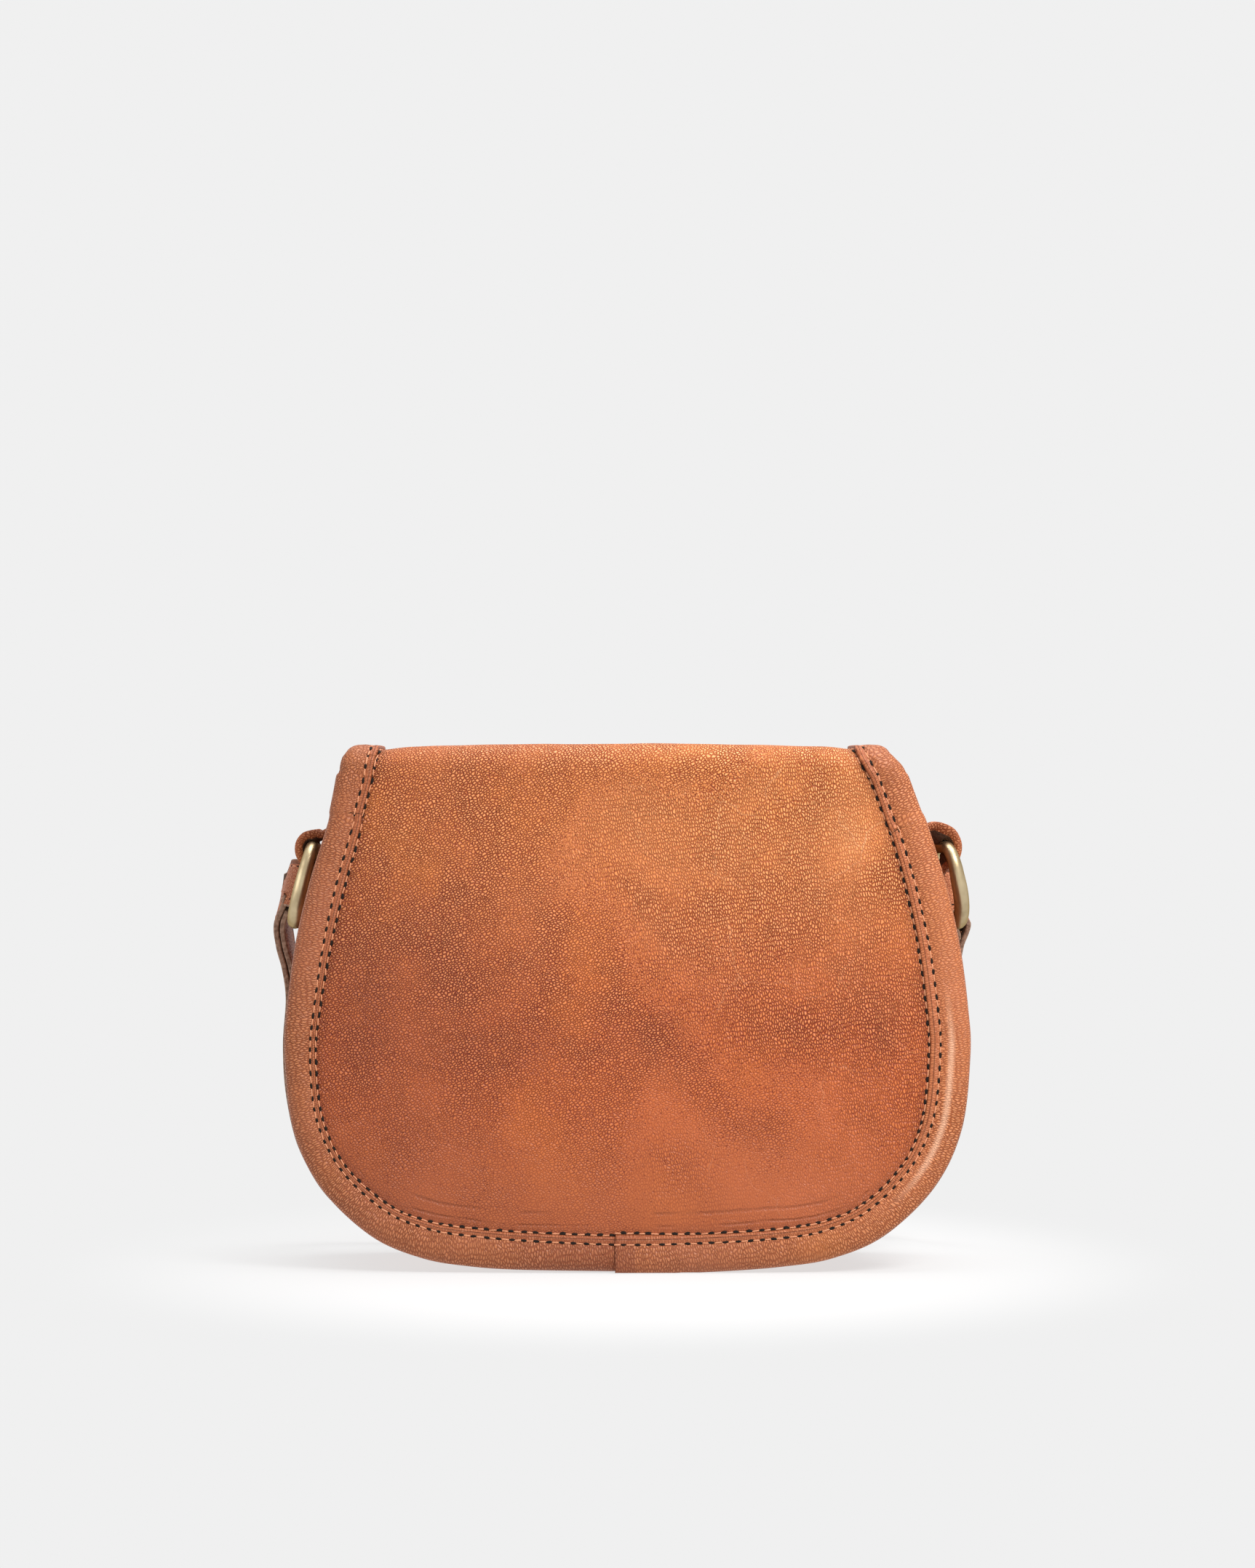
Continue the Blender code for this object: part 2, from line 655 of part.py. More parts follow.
def fold_turn(side, middle):
    """Points round one fold of the laid strap: a soft bulb that turns back on itself."""
    half = fold_pitch / 2
    bulb = half + turn_bulge
    turns = np.radians((-90, -45, 0, 45, 90))
    points = [(side * (fold_turn_x + bulb * math.cos(a)), middle + bulb * math.sin(a)) for a in turns]
    start_x = side * (fold_turn_x - turn_run)
    return [(start_x, middle - half)] + points + [(start_x, middle + half)]


def strap_routes():
    """The strap's middle line as points and width directions: the long part, then the short part."""
    upright = (0.0, 0.0, 1.0)
    parts = []
    for side, route in ((-1, left_route), (1, right_route)):
        centre, along, outboard = ring_contact(side)
        rows = [(centre + outboard * loop_reach(), along)]
        rows += [((np.array(p) + (half_width, 0, 0)) * (side, 1, 1), np.array(w) * (side, 1, 1))
                 for p, w in route]
        parts.append(rows)
    left, right = parts
    for fold in range(fold_count - 1):
        side = 1 if fold % 2 == 0 else -1
        middle = fold_first_y + fold_pitch * (fold + 0.5)
        left += [(np.array([x, y, fold_rest_z]), np.array(upright)) for x, y in fold_turn(side, middle)]
    return left, right


def strap_samples(rows, step):
    """Even samples of a route with smoothly turning width directions."""
    points = np.array([p for p, _ in rows])
    widths = np.array([w for _, w in rows])
    length = np.sum(np.linalg.norm(np.diff(points, axis=0), axis=1))
    curve = smooth_curve(np.hstack([points, widths]), max(4, int(length / step)))
    return curve[:, :3], unit(curve[:, 3:])


def strap_end(side, points, widths, word, material):
    """Folded end of the strap: the outer layer, its turn round the ring and the sewn inner layer."""
    length = lengths_along(points)
    keep = length < strap_fold_length
    outer, across, measure = points[keep], widths[keep], length[keep]
    centre, wire, outboard = ring_contact(side)
    away = unit(np.cross(wire, outboard)) * side
    reach = loop_reach()
    deep = reach + strap_loop_slack
    turn = np.radians(np.arange(162, 0, -24))
    arc = np.array([centre + outboard * reach * math.cos(a) - away * deep * math.sin(a) for a in turn])
    along = unit(np.gradient(outer, axis=0))
    apart = strap_leather + sewn_gap
    open_share = np.clip(1 - measure / strap_gather_length, 0, 1)[:, None]
    open_share = open_share ** 2 * (3 - 2 * open_share)
    normal = unit(np.cross(along, across) * side * (1 - open_share) + outboard * open_share)
    inner = outer - normal * (apart + (2 * reach - apart) * open_share)
    line = np.vstack([inner[::-1], arc, outer])
    directions = np.vstack([across[::-1], np.tile(wire, (len(arc), 1)), across])
    position = np.concatenate([-measure[::-1], np.zeros(len(arc)), measure])
    share = np.clip(np.abs(position) / strap_gather_length, 0, 1)
    width = strap_end_width + (strap_width - strap_end_width) * share
    strap_band(f"strap_end_{word}", line, directions, strap_leather, width, material)
    after = length > measure[-1] + 2 * sewn_gap
    start = [np.interp(measure[-1] + sewn_gap, length, column) for column in points.T]
    return np.vstack([start, points[after]]), np.vstack([across[-1], widths[after]])


def box_cutter(name, low, high):
    """A box between two corners, used only to cut."""
    shape = bmesh.new()
    bmesh.ops.create_cube(shape, size=1)
    low, high = np.array(low), np.array(high)
    for vertex in shape.verts:
        vertex.co = (low + high) / 2 + (high - low) * np.array(vertex.co)
    return hide_cutter(mesh_object(name, shape, None, "cutters"))


def hole_cutter(name, centre, radius):
    """A round cutter through the strap where it stands on edge, along Y."""
    shape = bmesh.new()
    reach = strap_leather + 2 * overrun
    bmesh.ops.create_cone(shape, segments=12, radius1=radius, radius2=radius, depth=2 * reach, cap_ends=True)
    cutter = hide_cutter(mesh_object(name, shape, None, "cutters"))
    cutter.rotation_euler = (math.pi / 2, 0, 0)
    cutter.location = centre
    return cutter


def hide_cutter(cutter):
    cutter.hide_render = True
    cutter.display_type = "WIRE"
    return cutter


def cut(thing, cutter):
    cutting = thing.modifiers.new(cutter.name, "BOOLEAN")
    cutting.operation = "DIFFERENCE"
    cutting.object = cutter


def strap_and_buckle(leather, metal):
    """The two straps from the rings to the buckle, the buckle with its prong, and the keeper."""
    left, right = strap_routes()
    run_y = fold_first_y + fold_pitch * (fold_count - 1)
    middle_z = strap_width / 2 + buckle_margin + buckle_wire + sewn_gap
    upright = np.array([0.0, 0.0, 1.0])
    bar_x, far_x = buckle_x, buckle_x - buckle_length
    beside = buckle_wire / 2 + sewn_gap + strap_leather / 2
    half_pair = (strap_leather + sewn_gap) / 2
    prong_y = buckle_wire / 2 + sewn_gap + prong_wire / 2
    over = prong_y + prong_wire / 2 + sewn_gap + prong_lift_room + strap_leather / 2
    stacked = half_pair + strap_leather + 2 * sewn_gap

    def run_point(x, y, z=middle_z):
        return np.array([x, run_y + y, z]), upright

    fold_end = bar_x + buckle_fold_length
    right.append(run_point(fold_end + buckle_ease_length, 0))
    near_bar = [run_point(fold_end - sewn_gap, half_pair), run_point(bar_x + 3 * beside, half_pair)]
    wrap = [run_point(bar_x + beside * math.cos(a), beside * math.sin(a))
            for a in np.radians((60, 90, 120, 150, 180, 210, 240, 270, 300))]
    back = [run_point(bar_x + 3 * beside, -half_pair), run_point(fold_end - sewn_gap, -half_pair)]
    right_points, right_widths = strap_samples(right, strap_step)
    right_points, right_widths = strap_end(1, right_points, right_widths, "right", leather)
    fine_points, fine_widths = strap_samples([right[-1]] + near_bar + wrap + back, strap_fine_step)
    short = strap_band("strap_short", np.vstack([right_points, fine_points[1:]]),
                       np.vstack([right_widths, fine_widths[1:]]), strap_leather, strap_width, leather)
    left += [run_point(far_x - buckle_length, 0, (middle_z + fold_rest_z) / 2)]
    left_points, left_widths = strap_samples(left, strap_step)
    left_points, left_widths = strap_end(-1, left_points, left_widths, "left", leather)
    crossing = [left[-1], run_point(far_x, -beside), run_point((far_x + bar_x) / 2, (over - beside) / 2),
                run_point(bar_x, over), run_point(bar_x + 2 * beside, (over + stacked) / 2),
                run_point(bar_x + 4 * beside, stacked), run_point(bar_x + tip_length, stacked)]
    fine_points, fine_widths = strap_samples(crossing, strap_fine_step)
    long = strap_band("strap_long", np.vstack([left_points, fine_points[1:]]),
                      np.vstack([left_widths, fine_widths[1:]]), strap_leather, strap_width, leather)
    slot = prong_wire / 2 + prong_slot_margin
    cut(short, box_cutter("prong_slot", (bar_x - beside - overrun, run_y - 2 * beside, middle_z - slot),
                          (bar_x + 2 * beside, run_y + over - strap_leather / 2 - sewn_gap / 2,
                           middle_z + slot)))
    cut(long, box_cutter("prong_hole", (bar_x - prong_hole_length, run_y - 2 * beside, middle_z - slot),
                         (bar_x + prong_wire / 2, run_y + 2 * over, middle_z + slot)))
    hole_places = [(far_x - size_hole_first, 0), (far_x - size_hole_first - size_hole_pitch, 0),
                   (bar_x + 2 * size_hole_pitch, stacked), (bar_x + 3 * size_hole_pitch, stacked)]
    for number, (x, y) in enumerate(hole_places):
        height = middle_z if x > far_x else np.interp(x, [far_x - buckle_length, far_x],
                                                      [(middle_z + fold_rest_z) / 2, middle_z])
        cut(long, hole_cutter(f"size_hole_{number}", (x, run_y + y, height), size_hole_radius))
    buckle_frame(bar_x, far_x, run_y, middle_z, metal)
    prong(bar_x, far_x, run_y, middle_z, prong_y, metal)
    keeper(bar_x + keeper_distance, run_y, middle_z, half_pair + strap_leather / 2,
           stacked + strap_leather / 2, leather)


def rounded_rectangle(half_a, half_b, radius, step):
    """Points round a rectangle whose corners are arcs of a radius, centred at half_a and half_b."""
    points = []
    for quarter, (sign_a, sign_b) in enumerate(((1, 1), (-1, 1), (-1, -1), (1, -1))):
        for turn in np.radians(np.arange(quarter * 90, quarter * 90 + 91, step)):
            points.append((sign_a * half_a + radius * math.cos(turn), sign_b * half_b + radius * math.sin(turn)))
    return np.array(points)


def buckle_frame(bar_x, far_x, run_y, middle_z, material):
    """Rounded rectangle of wire, standing on edge like the strap."""
    half_height = strap_width / 2 + buckle_margin + buckle_wire / 2
    line = rounded_rectangle((bar_x - far_x) / 2 - buckle_corner, half_height - buckle_corner,
                             buckle_corner, 22.5)
    middle_x = (bar_x + far_x) / 2
    wire_object("buckle_frame", [(middle_x + x, run_y, middle_z + z) for x, z in line],
                buckle_wire / 2, material, True)


def prong(bar_x, far_x, run_y, middle_z, prong_y, material):
    """Wire prong: hooked round the buckle's bar, with a straight arm resting on the far bar."""
    hook = [(prong_y * math.cos(a), prong_y * math.sin(a), 0) for a in np.radians(np.arange(-150, 91, 20))]
    tip = far_x - bar_x - prong_overhang
    hook += [(tip / 2, prong_y, 0), (tip, prong_y, 0)]
    thing = wire_object("buckle_prong", hook, prong_wire / 2, material)
    thing.location = (bar_x, run_y, middle_z)


def keeper(x, run_y, middle_z, behind, front, material):
    """Leather loop that holds the strap's tip down on the short strap."""
    grids = []
    for room in (2 * sewn_gap + keeper_leather, 2 * sewn_gap):
        line = rounded_rectangle((behind + front) / 2, strap_width / 2, room, 45)
        y = run_y + (front - behind) / 2 + line[:, 0]
        z = middle_z + line[:, 1]
        rows = [np.column_stack([np.full(len(y), x + end * keeper_width / 2), y, z]) for end in (-1, 1)]
        grids.append(np.stack(rows))
    shell("keeper_loop", *grids, material, ring=True)


def axis_empty(name, place, pieces, parent=None):
    """An empty on a joint's axis that carries the pieces that turn about it."""
    empty = add_object(name, None, None)
    empty.location = place
    if parent:
        empty.parent = parent
        empty.matrix_parent_inverse = Matrix.Translation(parent.location).inverted()
    for piece in pieces:
        thing = bpy.data.objects[piece]
        thing.parent = empty
        thing.matrix_parent_inverse = Matrix.Translation(place).inverted()
    return empty


def flap_axes():
    """The axes of the flap's two folds, each just outside the leather that bends."""
    hinge = (0, middle_y - half_depth(hinge_height) - hinge_offset, hinge_height - sole_flat)
    out = (fold_radius + hinge_offset) * math.sqrt(0.5)
    fold = (0, middle_y + front_arc_y + out, arc_z + out - sole_flat)
    print("middle plane", middle_y, "hinge axis", hinge, "fold axis", fold)
    print("ring bars at", ring_bar_x, ring_bar_z)
    top = axis_empty("flap_hinge_axis", hinge, (
        "flap_top", "flap_top_lining", "flap_top_binding_left", "flap_top_binding_right"))
    axis_empty("flap_fold_axis", fold, (
        "flap_front", "flap_front_lining", "flap_front_binding", "snap_stud"), top)


def main():
    clear_scene()
    leather = finish_material("tan_leather", (0.50, 0.17, 0.07), 0.5)
    lining = finish_material("lining_fabric", (0.20, 0.10, 0.05), 0.9)
    metal = finish_material("antique_brass", (0.45, 0.36, 0.22), 0.4, 1.0)
    body_pieces(leather, lining)
    flap_top_sheet("flap_top", (panel_face, panel_back), flap_roll_radius, leather)
    flap_top_sheet("flap_top_lining", (lining_face, lining_back), flap_roll_radius, lining)
    flap_front_sheet("flap_front", (panel_face, panel_back), flap_roll_radius, leather)
    flap_front_sheet("flap_front_lining", (lining_face, lining_back), flap_roll_radius, lining)
    flap_bindings(leather)
    snap_pieces(metal)
    tabs_and_rings(leather, metal)
    strap_and_buckle(leather, metal)
    flap_axes()


main()
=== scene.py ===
"""Looks of the leather shoulder bag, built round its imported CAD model.

One leather skin runs up the back, over the top and down as the flap. Its places are given by x and by
the distance along it, measured from the hinge line at the top of the back: below zero on the back,
above zero on the flap. Every sewn layer lies a named distance inward from the outer face of the bindings.
"""
import math

import bpy
import numpy as np
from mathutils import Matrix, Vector


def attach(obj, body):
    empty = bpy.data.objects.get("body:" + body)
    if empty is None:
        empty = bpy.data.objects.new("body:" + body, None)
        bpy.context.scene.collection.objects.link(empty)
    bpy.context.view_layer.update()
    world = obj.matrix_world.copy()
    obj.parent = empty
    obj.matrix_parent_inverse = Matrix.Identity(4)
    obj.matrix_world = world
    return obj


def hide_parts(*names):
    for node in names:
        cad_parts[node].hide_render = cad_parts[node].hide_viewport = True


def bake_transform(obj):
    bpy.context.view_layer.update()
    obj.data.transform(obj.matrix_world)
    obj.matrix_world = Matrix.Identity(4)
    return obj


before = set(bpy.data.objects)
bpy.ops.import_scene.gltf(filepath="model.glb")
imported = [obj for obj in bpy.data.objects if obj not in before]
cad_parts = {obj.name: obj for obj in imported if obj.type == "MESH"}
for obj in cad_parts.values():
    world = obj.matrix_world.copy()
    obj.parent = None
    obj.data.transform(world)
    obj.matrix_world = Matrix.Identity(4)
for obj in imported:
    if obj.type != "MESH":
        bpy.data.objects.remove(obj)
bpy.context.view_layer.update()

# Sizes of the bag, as in the CAD model
bag_height = 0.169
half_width = 0.110
bottom_depth = 0.070
top_depth = 0.049
panel_crown = 0.0030
sole_flat = 0.0004
floor_room = 0.00005
hinge_height = 0.1608
mouth_height = 0.1580
fold_radius = 0.0080
flap_proud = 0.0069
flap_bottom_height = 0.0320
flap_half_width = 0.0965
middle_y = -0.0028055

# Layers of the seam, inward from the outer face of the bindings
binding_leather = 0.0009
panel_face = 0.0012
panel_back = 0.0028
lining_face = 0.0031
lining_back = 0.0037
gusset_face = 0.0031
gusset_back = 0.0047
lining_wall = 0.0099
lining_cloth = 0.0006
flap_lining_inset = 0.0045
body_roll = 0.00295
flap_roll = 0.00245
outer_row_depth = 0.0005
inner_row_shift = 0.0002

# Stitches, and the lap where the two strips of the back's binding meet
stitch_pitch = 0.0041
columns_per_stitch = 5
lap_x = -0.0040
lap_under = 0.0090
lap_thickness = 0.00075
lap_fade = 0.0300

# Straps, rings and tabs
strap_width = 0.0186
strap_end_width = 0.0160
strap_leather = 0.0018
strap_gap = 0.0003
band_row_inset = 0.0025
strap_fold_length = 0.0330
strap_loop_slack = 0.0031

# Fit of the strap's loop on each ring: how far its outer layer reaches from the middle of the wire, and
# the length over which its two layers come together. The inner layer's reach is the same on both rings.
loop_fits = {-1: (0.0061, 0.0050), 1: (0.0041, 0.0140)}
loop_inner_reach = 0.0038

# Rings: where the strap hangs on each bow, and how far each ring leans out and turns about the upright
strap_ring_angles = {-1: math.radians(83), 1: math.radians(66)}
ring_wire = 0.0050
ring_half_width = 0.0125
ring_drop = 0.0250
ring_corner = 0.0068
ring_turns = {-1: (math.radians(14.0), 0.0), 1: (math.radians(12.0), math.radians(11.5))}
ring_bar_x = 0.102492
ring_bar_z = 0.135707
tab_leather = 0.0024
tab_width = 0.0152
gusset_wall = 0.0080

rng = np.random.default_rng(7)

# The two rows of stitches of the back, from its left top corner round to the right one: share of the
# seam's length, and the distances of the outer and the inner row from the outline in millimetres
back_rows = np.array((
    (0.0, 8.9, 11.1), (0.030, 9.4, 11.8), (0.045, 9.9, 12.3), (0.055, 9.9, 12.3), (0.062, 9.1, 11.6),
    (0.070, 8.4, 10.9), (0.082, 7.9, 10.3), (0.11, 8.5, 11.0), (0.15, 9.1, 11.3), (0.19, 9.1, 10.7),
    (0.22, 8.5, 9.9), (0.25, 7.9, 9.5), (0.29, 8.6, 9.9), (0.345, 9.3, 11.1),
    (0.40, 9.8, 12.0), (0.50, 9.5, 12.2), (0.61, 9.1, 11.8), (0.65, 9.7, 11.9), (0.69, 10.1, 12.2),
    (0.73, 9.8, 12.9), (0.78, 9.8, 13.2), (0.83, 10.0, 13.2), (0.88, 9.7, 12.5), (0.93, 9.3, 11.6),
    (0.96, 9.3, 12.1), (0.98, 9.8, 12.9), (1.0, 9.8, 12.8),
))
flap_rows = np.array((
    (0.0, 9.8, 12.8), (0.02, 9.7, 12.5), (0.06, 8.9, 11.6), (0.5, 9.0, 11.6), (0.94, 8.8, 11.4),
    (0.98, 9.0, 11.3), (1.0, 8.9, 11.1),
))
even_rows = np.array(((0.0, 8.6, 11.2), (0.5, 9.0, 11.6), (1.0, 8.6, 11.2)))

# Outline of the back, right half, bottom centre to hinge line, as x and height in shares of the bag
back_outline = np.array((
    (0.0, 0.0), (0.25, 0.005), (0.45, 0.0145), (0.60, 0.031), (0.75, 0.074), (0.895, 0.165),
    (0.9745, 0.275), (1.0, 0.414), (0.9945, 0.50), (0.971, 0.621), (0.930, 0.74), (0.877, 0.853),
    (0.845, 0.908),
)) * (half_width, bag_height)

# Outline of the flap, right half, bottom centre to the front fold, as shares of its half width and length
flap_outline_shares = np.array((
    (0.0, 0.0), (0.25, 0.004), (0.45, 0.017), (0.62, 0.050), (0.78, 0.118), (0.90, 0.215),
    (0.965, 0.325), (0.995, 0.45), (1.0, 0.56), (0.985, 0.72), (0.955, 0.87),
))


def unit(vectors):
    """Vectors along the last axis, scaled to length one."""
    vectors = np.asarray(vectors, dtype=float)
    return vectors / np.maximum(np.linalg.norm(vectors, axis=-1, keepdims=True), 1e-12)


def ease(value, start, end):
    """Smooth step from 0 at start to 1 at end."""
    share = np.clip((value - start) / (end - start), 0, 1)
    return share * share * (3 - 2 * share)


def lengths_along(points):
    """Distance along a line of points, from its first one."""
    return np.concatenate([[0], np.cumsum(np.linalg.norm(np.diff(points, axis=0), axis=1))])


def smooth_curve(points, count, power=0.0):
    """Catmull-Rom curve through the points, as count + 1 samples evenly spaced along its length.

    Columns after the third are carried along with the points. The knots are spaced by the distances
    between the points, raised to the power, so 0.5 keeps the curve calm where the points are uneven.
    """
    points = np.asarray(points, dtype=float)
    padded = np.vstack([2 * points[0] - points[1], points, 2 * points[-1] - points[-2]])
    t = np.linspace(0, 1, 24, endpoint=False)[:, None, None]
    p0, p1, p2, p3 = padded[:-3], padded[1:-2], padded[2:-1], padded[3:]
    knots = np.linalg.norm(np.diff(padded[:, :3], axis=0), axis=1, keepdims=True) ** power
    d0, d1, d2 = knots[:-2], knots[1:-1], knots[2:]
    leave = d1 * ((p1 - p0) / d0 - (p2 - p0) / (d0 + d1)) + p2 - p1
    arrive = d1 * ((p3 - p2) / d2 - (p3 - p1) / (d1 + d2)) + p2 - p1
    cubic = (p1 + leave * t + (3 * (p2 - p1) - 2 * leave - arrive) * t ** 2
             + (2 * (p1 - p2) + leave + arrive) * t ** 3)
    dense = np.vstack([cubic.transpose(1, 0, 2).reshape(-1, points.shape[1]), points[-1:]])
    length = lengths_along(dense[:, :3])
    wanted = np.linspace(0, length[-1], count + 1)
    return np.column_stack([np.interp(wanted, length, column) for column in dense.T])


def half_depth(z):
    """Distance from the bag's middle plane to the outer face of a binding at height z."""
    return bottom_depth / 2 - (bottom_depth - top_depth) / 2 / bag_height * z


def crown(x, z):
    """How far the soft panels swell outwards at x, z: a low dome inside the bindings."""
    across = x / (half_width - 0.0115)
    middle = bag_height / 2
    along = (z - middle) / (middle - 0.0115)
    return panel_crown * np.clip(1 - across ** 2 - along ** 2, 0, None) ** 2


lean = math.atan((bottom_depth - top_depth) / 2 / bag_height)
arc_z = bag_height - fold_radius
arc_depth = half_depth(bag_height - fold_radius * (1 - math.sin(lean)))
back_arc_y = fold_radius * math.cos(lean) - arc_depth
front_arc_y = arc_depth + flap_proud - fold_radius * math.cos(lean)
back_heights = np.linspace(-0.004, hinge_height, 20)
back_angles = np.linspace(math.pi - lean, math.pi / 2, 24)
front_angles = np.linspace(math.pi / 2, lean, 24)
front_heights = np.linspace(arc_z, flap_bottom_height, 30)[1:]
profile_y = np.concatenate([
    -half_depth(back_heights), back_arc_y + fold_radius * np.cos(back_angles),
    front_arc_y + fold_radius * np.cos(front_angles), half_depth(front_heights) + flap_proud])
profile_z = np.concatenate([
    back_heights, arc_z + fold_radius * np.sin(back_angles),
    arc_z + fold_radius * np.sin(front_angles), front_heights])
profile_angle = np.concatenate([
    np.full(len(back_heights), math.pi - lean), back_angles, front_angles,
    np.full(len(front_heights), lean)])
profile_along = lengths_along(np.column_stack([profile_y, profile_z]))
profile_along = profile_along - profile_along[len(back_heights) - 1]
profile_along[:len(back_heights)] = back_heights - hinge_height
flap_end = profile_along[-1]
fold_at = float(np.interp(-math.pi / 4, -profile_angle, profile_along))
front_start = float(profile_along[len(back_heights) + 47])
arc_end = float(profile_along[len(back_heights) + 23])
top_middle = (arc_end + float(profile_along[len(back_heights) + 24])) / 2


def skin(x, along, inward):
    """Points on the leather skin: the side profile at the distance along, moved inward, with x kept.

    The back and the flap's front swell outwards by the crown.
    """
    angle = np.interp(along, profile_along, profile_angle)
    y = np.interp(along, profile_along, profile_y) - inward * np.cos(angle)
    z = np.interp(along, profile_along, profile_z) - inward * np.sin(angle)
    front_share = np.clip((along - fold_at) / (front_start - fold_at), 0, 1)
    y = y + crown(x, z) * (front_share - (along < 0))
    return np.stack(np.broadcast_arrays(x, y + middle_y, np.maximum(z - sole_flat, floor_room)), axis=-1)


def front_wall(x, along, inward):
    """Points on the front panel under the flap, with the distance along counted as on the back."""
    z = along + hinge_height
    y = half_depth(z) - inward + crown(x, z)
    return np.stack(np.broadcast_arrays(x, y + middle_y, np.maximum(z - sole_flat, floor_room)), axis=-1)


# Meshes from arrays


def grid_faces(rows, columns, wrap_rows=False, wrap_columns=False, first=0):
    """Quads of a grid of points stored row by row, closed on itself where asked."""
    i = np.arange(rows if wrap_rows else rows - 1)[:, None]
    j = np.arange(columns if wrap_columns else columns - 1)[None, :]
    k, m = (i + 1) % rows, (j + 1) % columns
    corners = [i * columns + j, i * columns + m, k * columns + m, k * columns + j]
    return np.stack([np.broadcast_to(c, (i.size, j.size)) for c in corners], axis=-1).reshape(-1, 4) + first


def fan_faces(ring, pole):
    """Triangles from a closed ring of vertex numbers to one vertex."""
    return np.stack([ring, np.roll(ring, -1), np.full(len(ring), pole)], axis=-1)


def signed_volume(points, quads, triangles):
    """Volume inside closed faces; below zero where they point inwards."""
    halves = [quads[:, [0, 1, 2]], quads[:, [0, 2, 3]], triangles]
    corners = points[np.vstack(halves)]
    return np.einsum("ij,ij->i", corners[:, 0], np.cross(corners[:, 1], corners[:, 2])).sum() / 6


def add_piece(name, points, quads, materials, triangles=None, skin_uv=None, seam=None, slots=None, flat=0,
              flat_caps=False):
    """A smooth-shaded mesh piece whose faces are turned outwards.

    skin_uv is a place on the flat leather in metres for each vertex, and seam its distance along and
    from a seam. slots gives a material number for each quad. The last flat quads, and with flat_caps the
    triangles, are shaded flat, so that a cut edge stays crisp.
    """
    points = np.asarray(points, dtype=float).reshape(-1, 3)
    triangles = np.zeros((0, 3), dtype=int) if triangles is None else triangles
    if signed_volume(points, quads, triangles) < 0:
        quads, triangles = quads[:, ::-1], triangles[:, ::-1]
    data = bpy.data.meshes.new(name)
    data.vertices.add(len(points))
    data.vertices.foreach_set("co", points.astype(np.float32).ravel())
    corners = np.concatenate([quads.ravel(), triangles.ravel()]).astype(np.int32)
    starts = np.concatenate([np.arange(len(quads)) * 4, len(quads) * 4 + np.arange(len(triangles)) * 3])
    data.loops.add(len(corners))
    data.loops.foreach_set("vertex_index", corners)
    data.polygons.add(len(starts))
    data.polygons.foreach_set("loop_start", starts.astype(np.int32))
    smooth = np.ones(len(starts), dtype=bool)
    smooth[len(quads) - flat:len(quads)] = False
    if flat_caps:
        smooth[len(quads):] = False
    data.polygons.foreach_set("use_smooth", smooth)
    if slots is not None:
        numbers = np.concatenate([slots, np.zeros(len(triangles))]).astype(np.int32)
        data.polygons.foreach_set("material_index", numbers)
    data.update(calc_edges=True)
    if skin_uv is not None:
        layer = data.uv_layers.new(name="skin")
        layer.data.foreach_set("uv", skin_uv.reshape(-1, 2)[corners].astype(np.float32).ravel())
    if seam is not None:
        values = np.column_stack([seam.reshape(-1, 2), np.zeros(len(points))])
        data.attributes.new("seam", "FLOAT_VECTOR", "POINT").data.foreach_set(
            "vector", values.astype(np.float32).ravel())
    data.validate()
    thing = bpy.data.objects.new(name, data)
    bpy.context.scene.collection.objects.link(thing)
    for material in materials if isinstance(materials, (list, tuple)) else [materials]:
        data.materials.append(material)
    return thing


def swept(name, grid, materials, skin_uv=None, closed_path=False, slots=None, flat_caps=True):
    """A closed solid from a grid of points: rows along a path, columns round a closed profile."""
    rows, columns = grid.shape[:2]
    points = grid.reshape(-1, 3)
    quads = grid_faces(rows, columns, wrap_rows=closed_path, wrap_columns=True)
    face_slots = None
    if slots is not None:
        face_slots = np.tile(slots, rows if closed_path else rows - 1)
    triangles = None
    uv = None if skin_uv is None else skin_uv.reshape(-1, 2)
    if not closed_path:
        ends = np.stack([grid[0].mean(axis=0), grid[-1].mean(axis=0)])
        count = len(points)
        points = np.vstack([points, ends])
        triangles = np.vstack([fan_faces(np.arange(columns)[::-1], count),
                               fan_faces(np.arange(columns) + (rows - 1) * columns, count + 1)])
        if uv is not None:
            uv = np.vstack([uv, uv[0], uv[-1]])
    return add_piece(name, points, quads, materials, triangles, skin_uv=uv, slots=face_slots,
                     flat_caps=flat_caps)


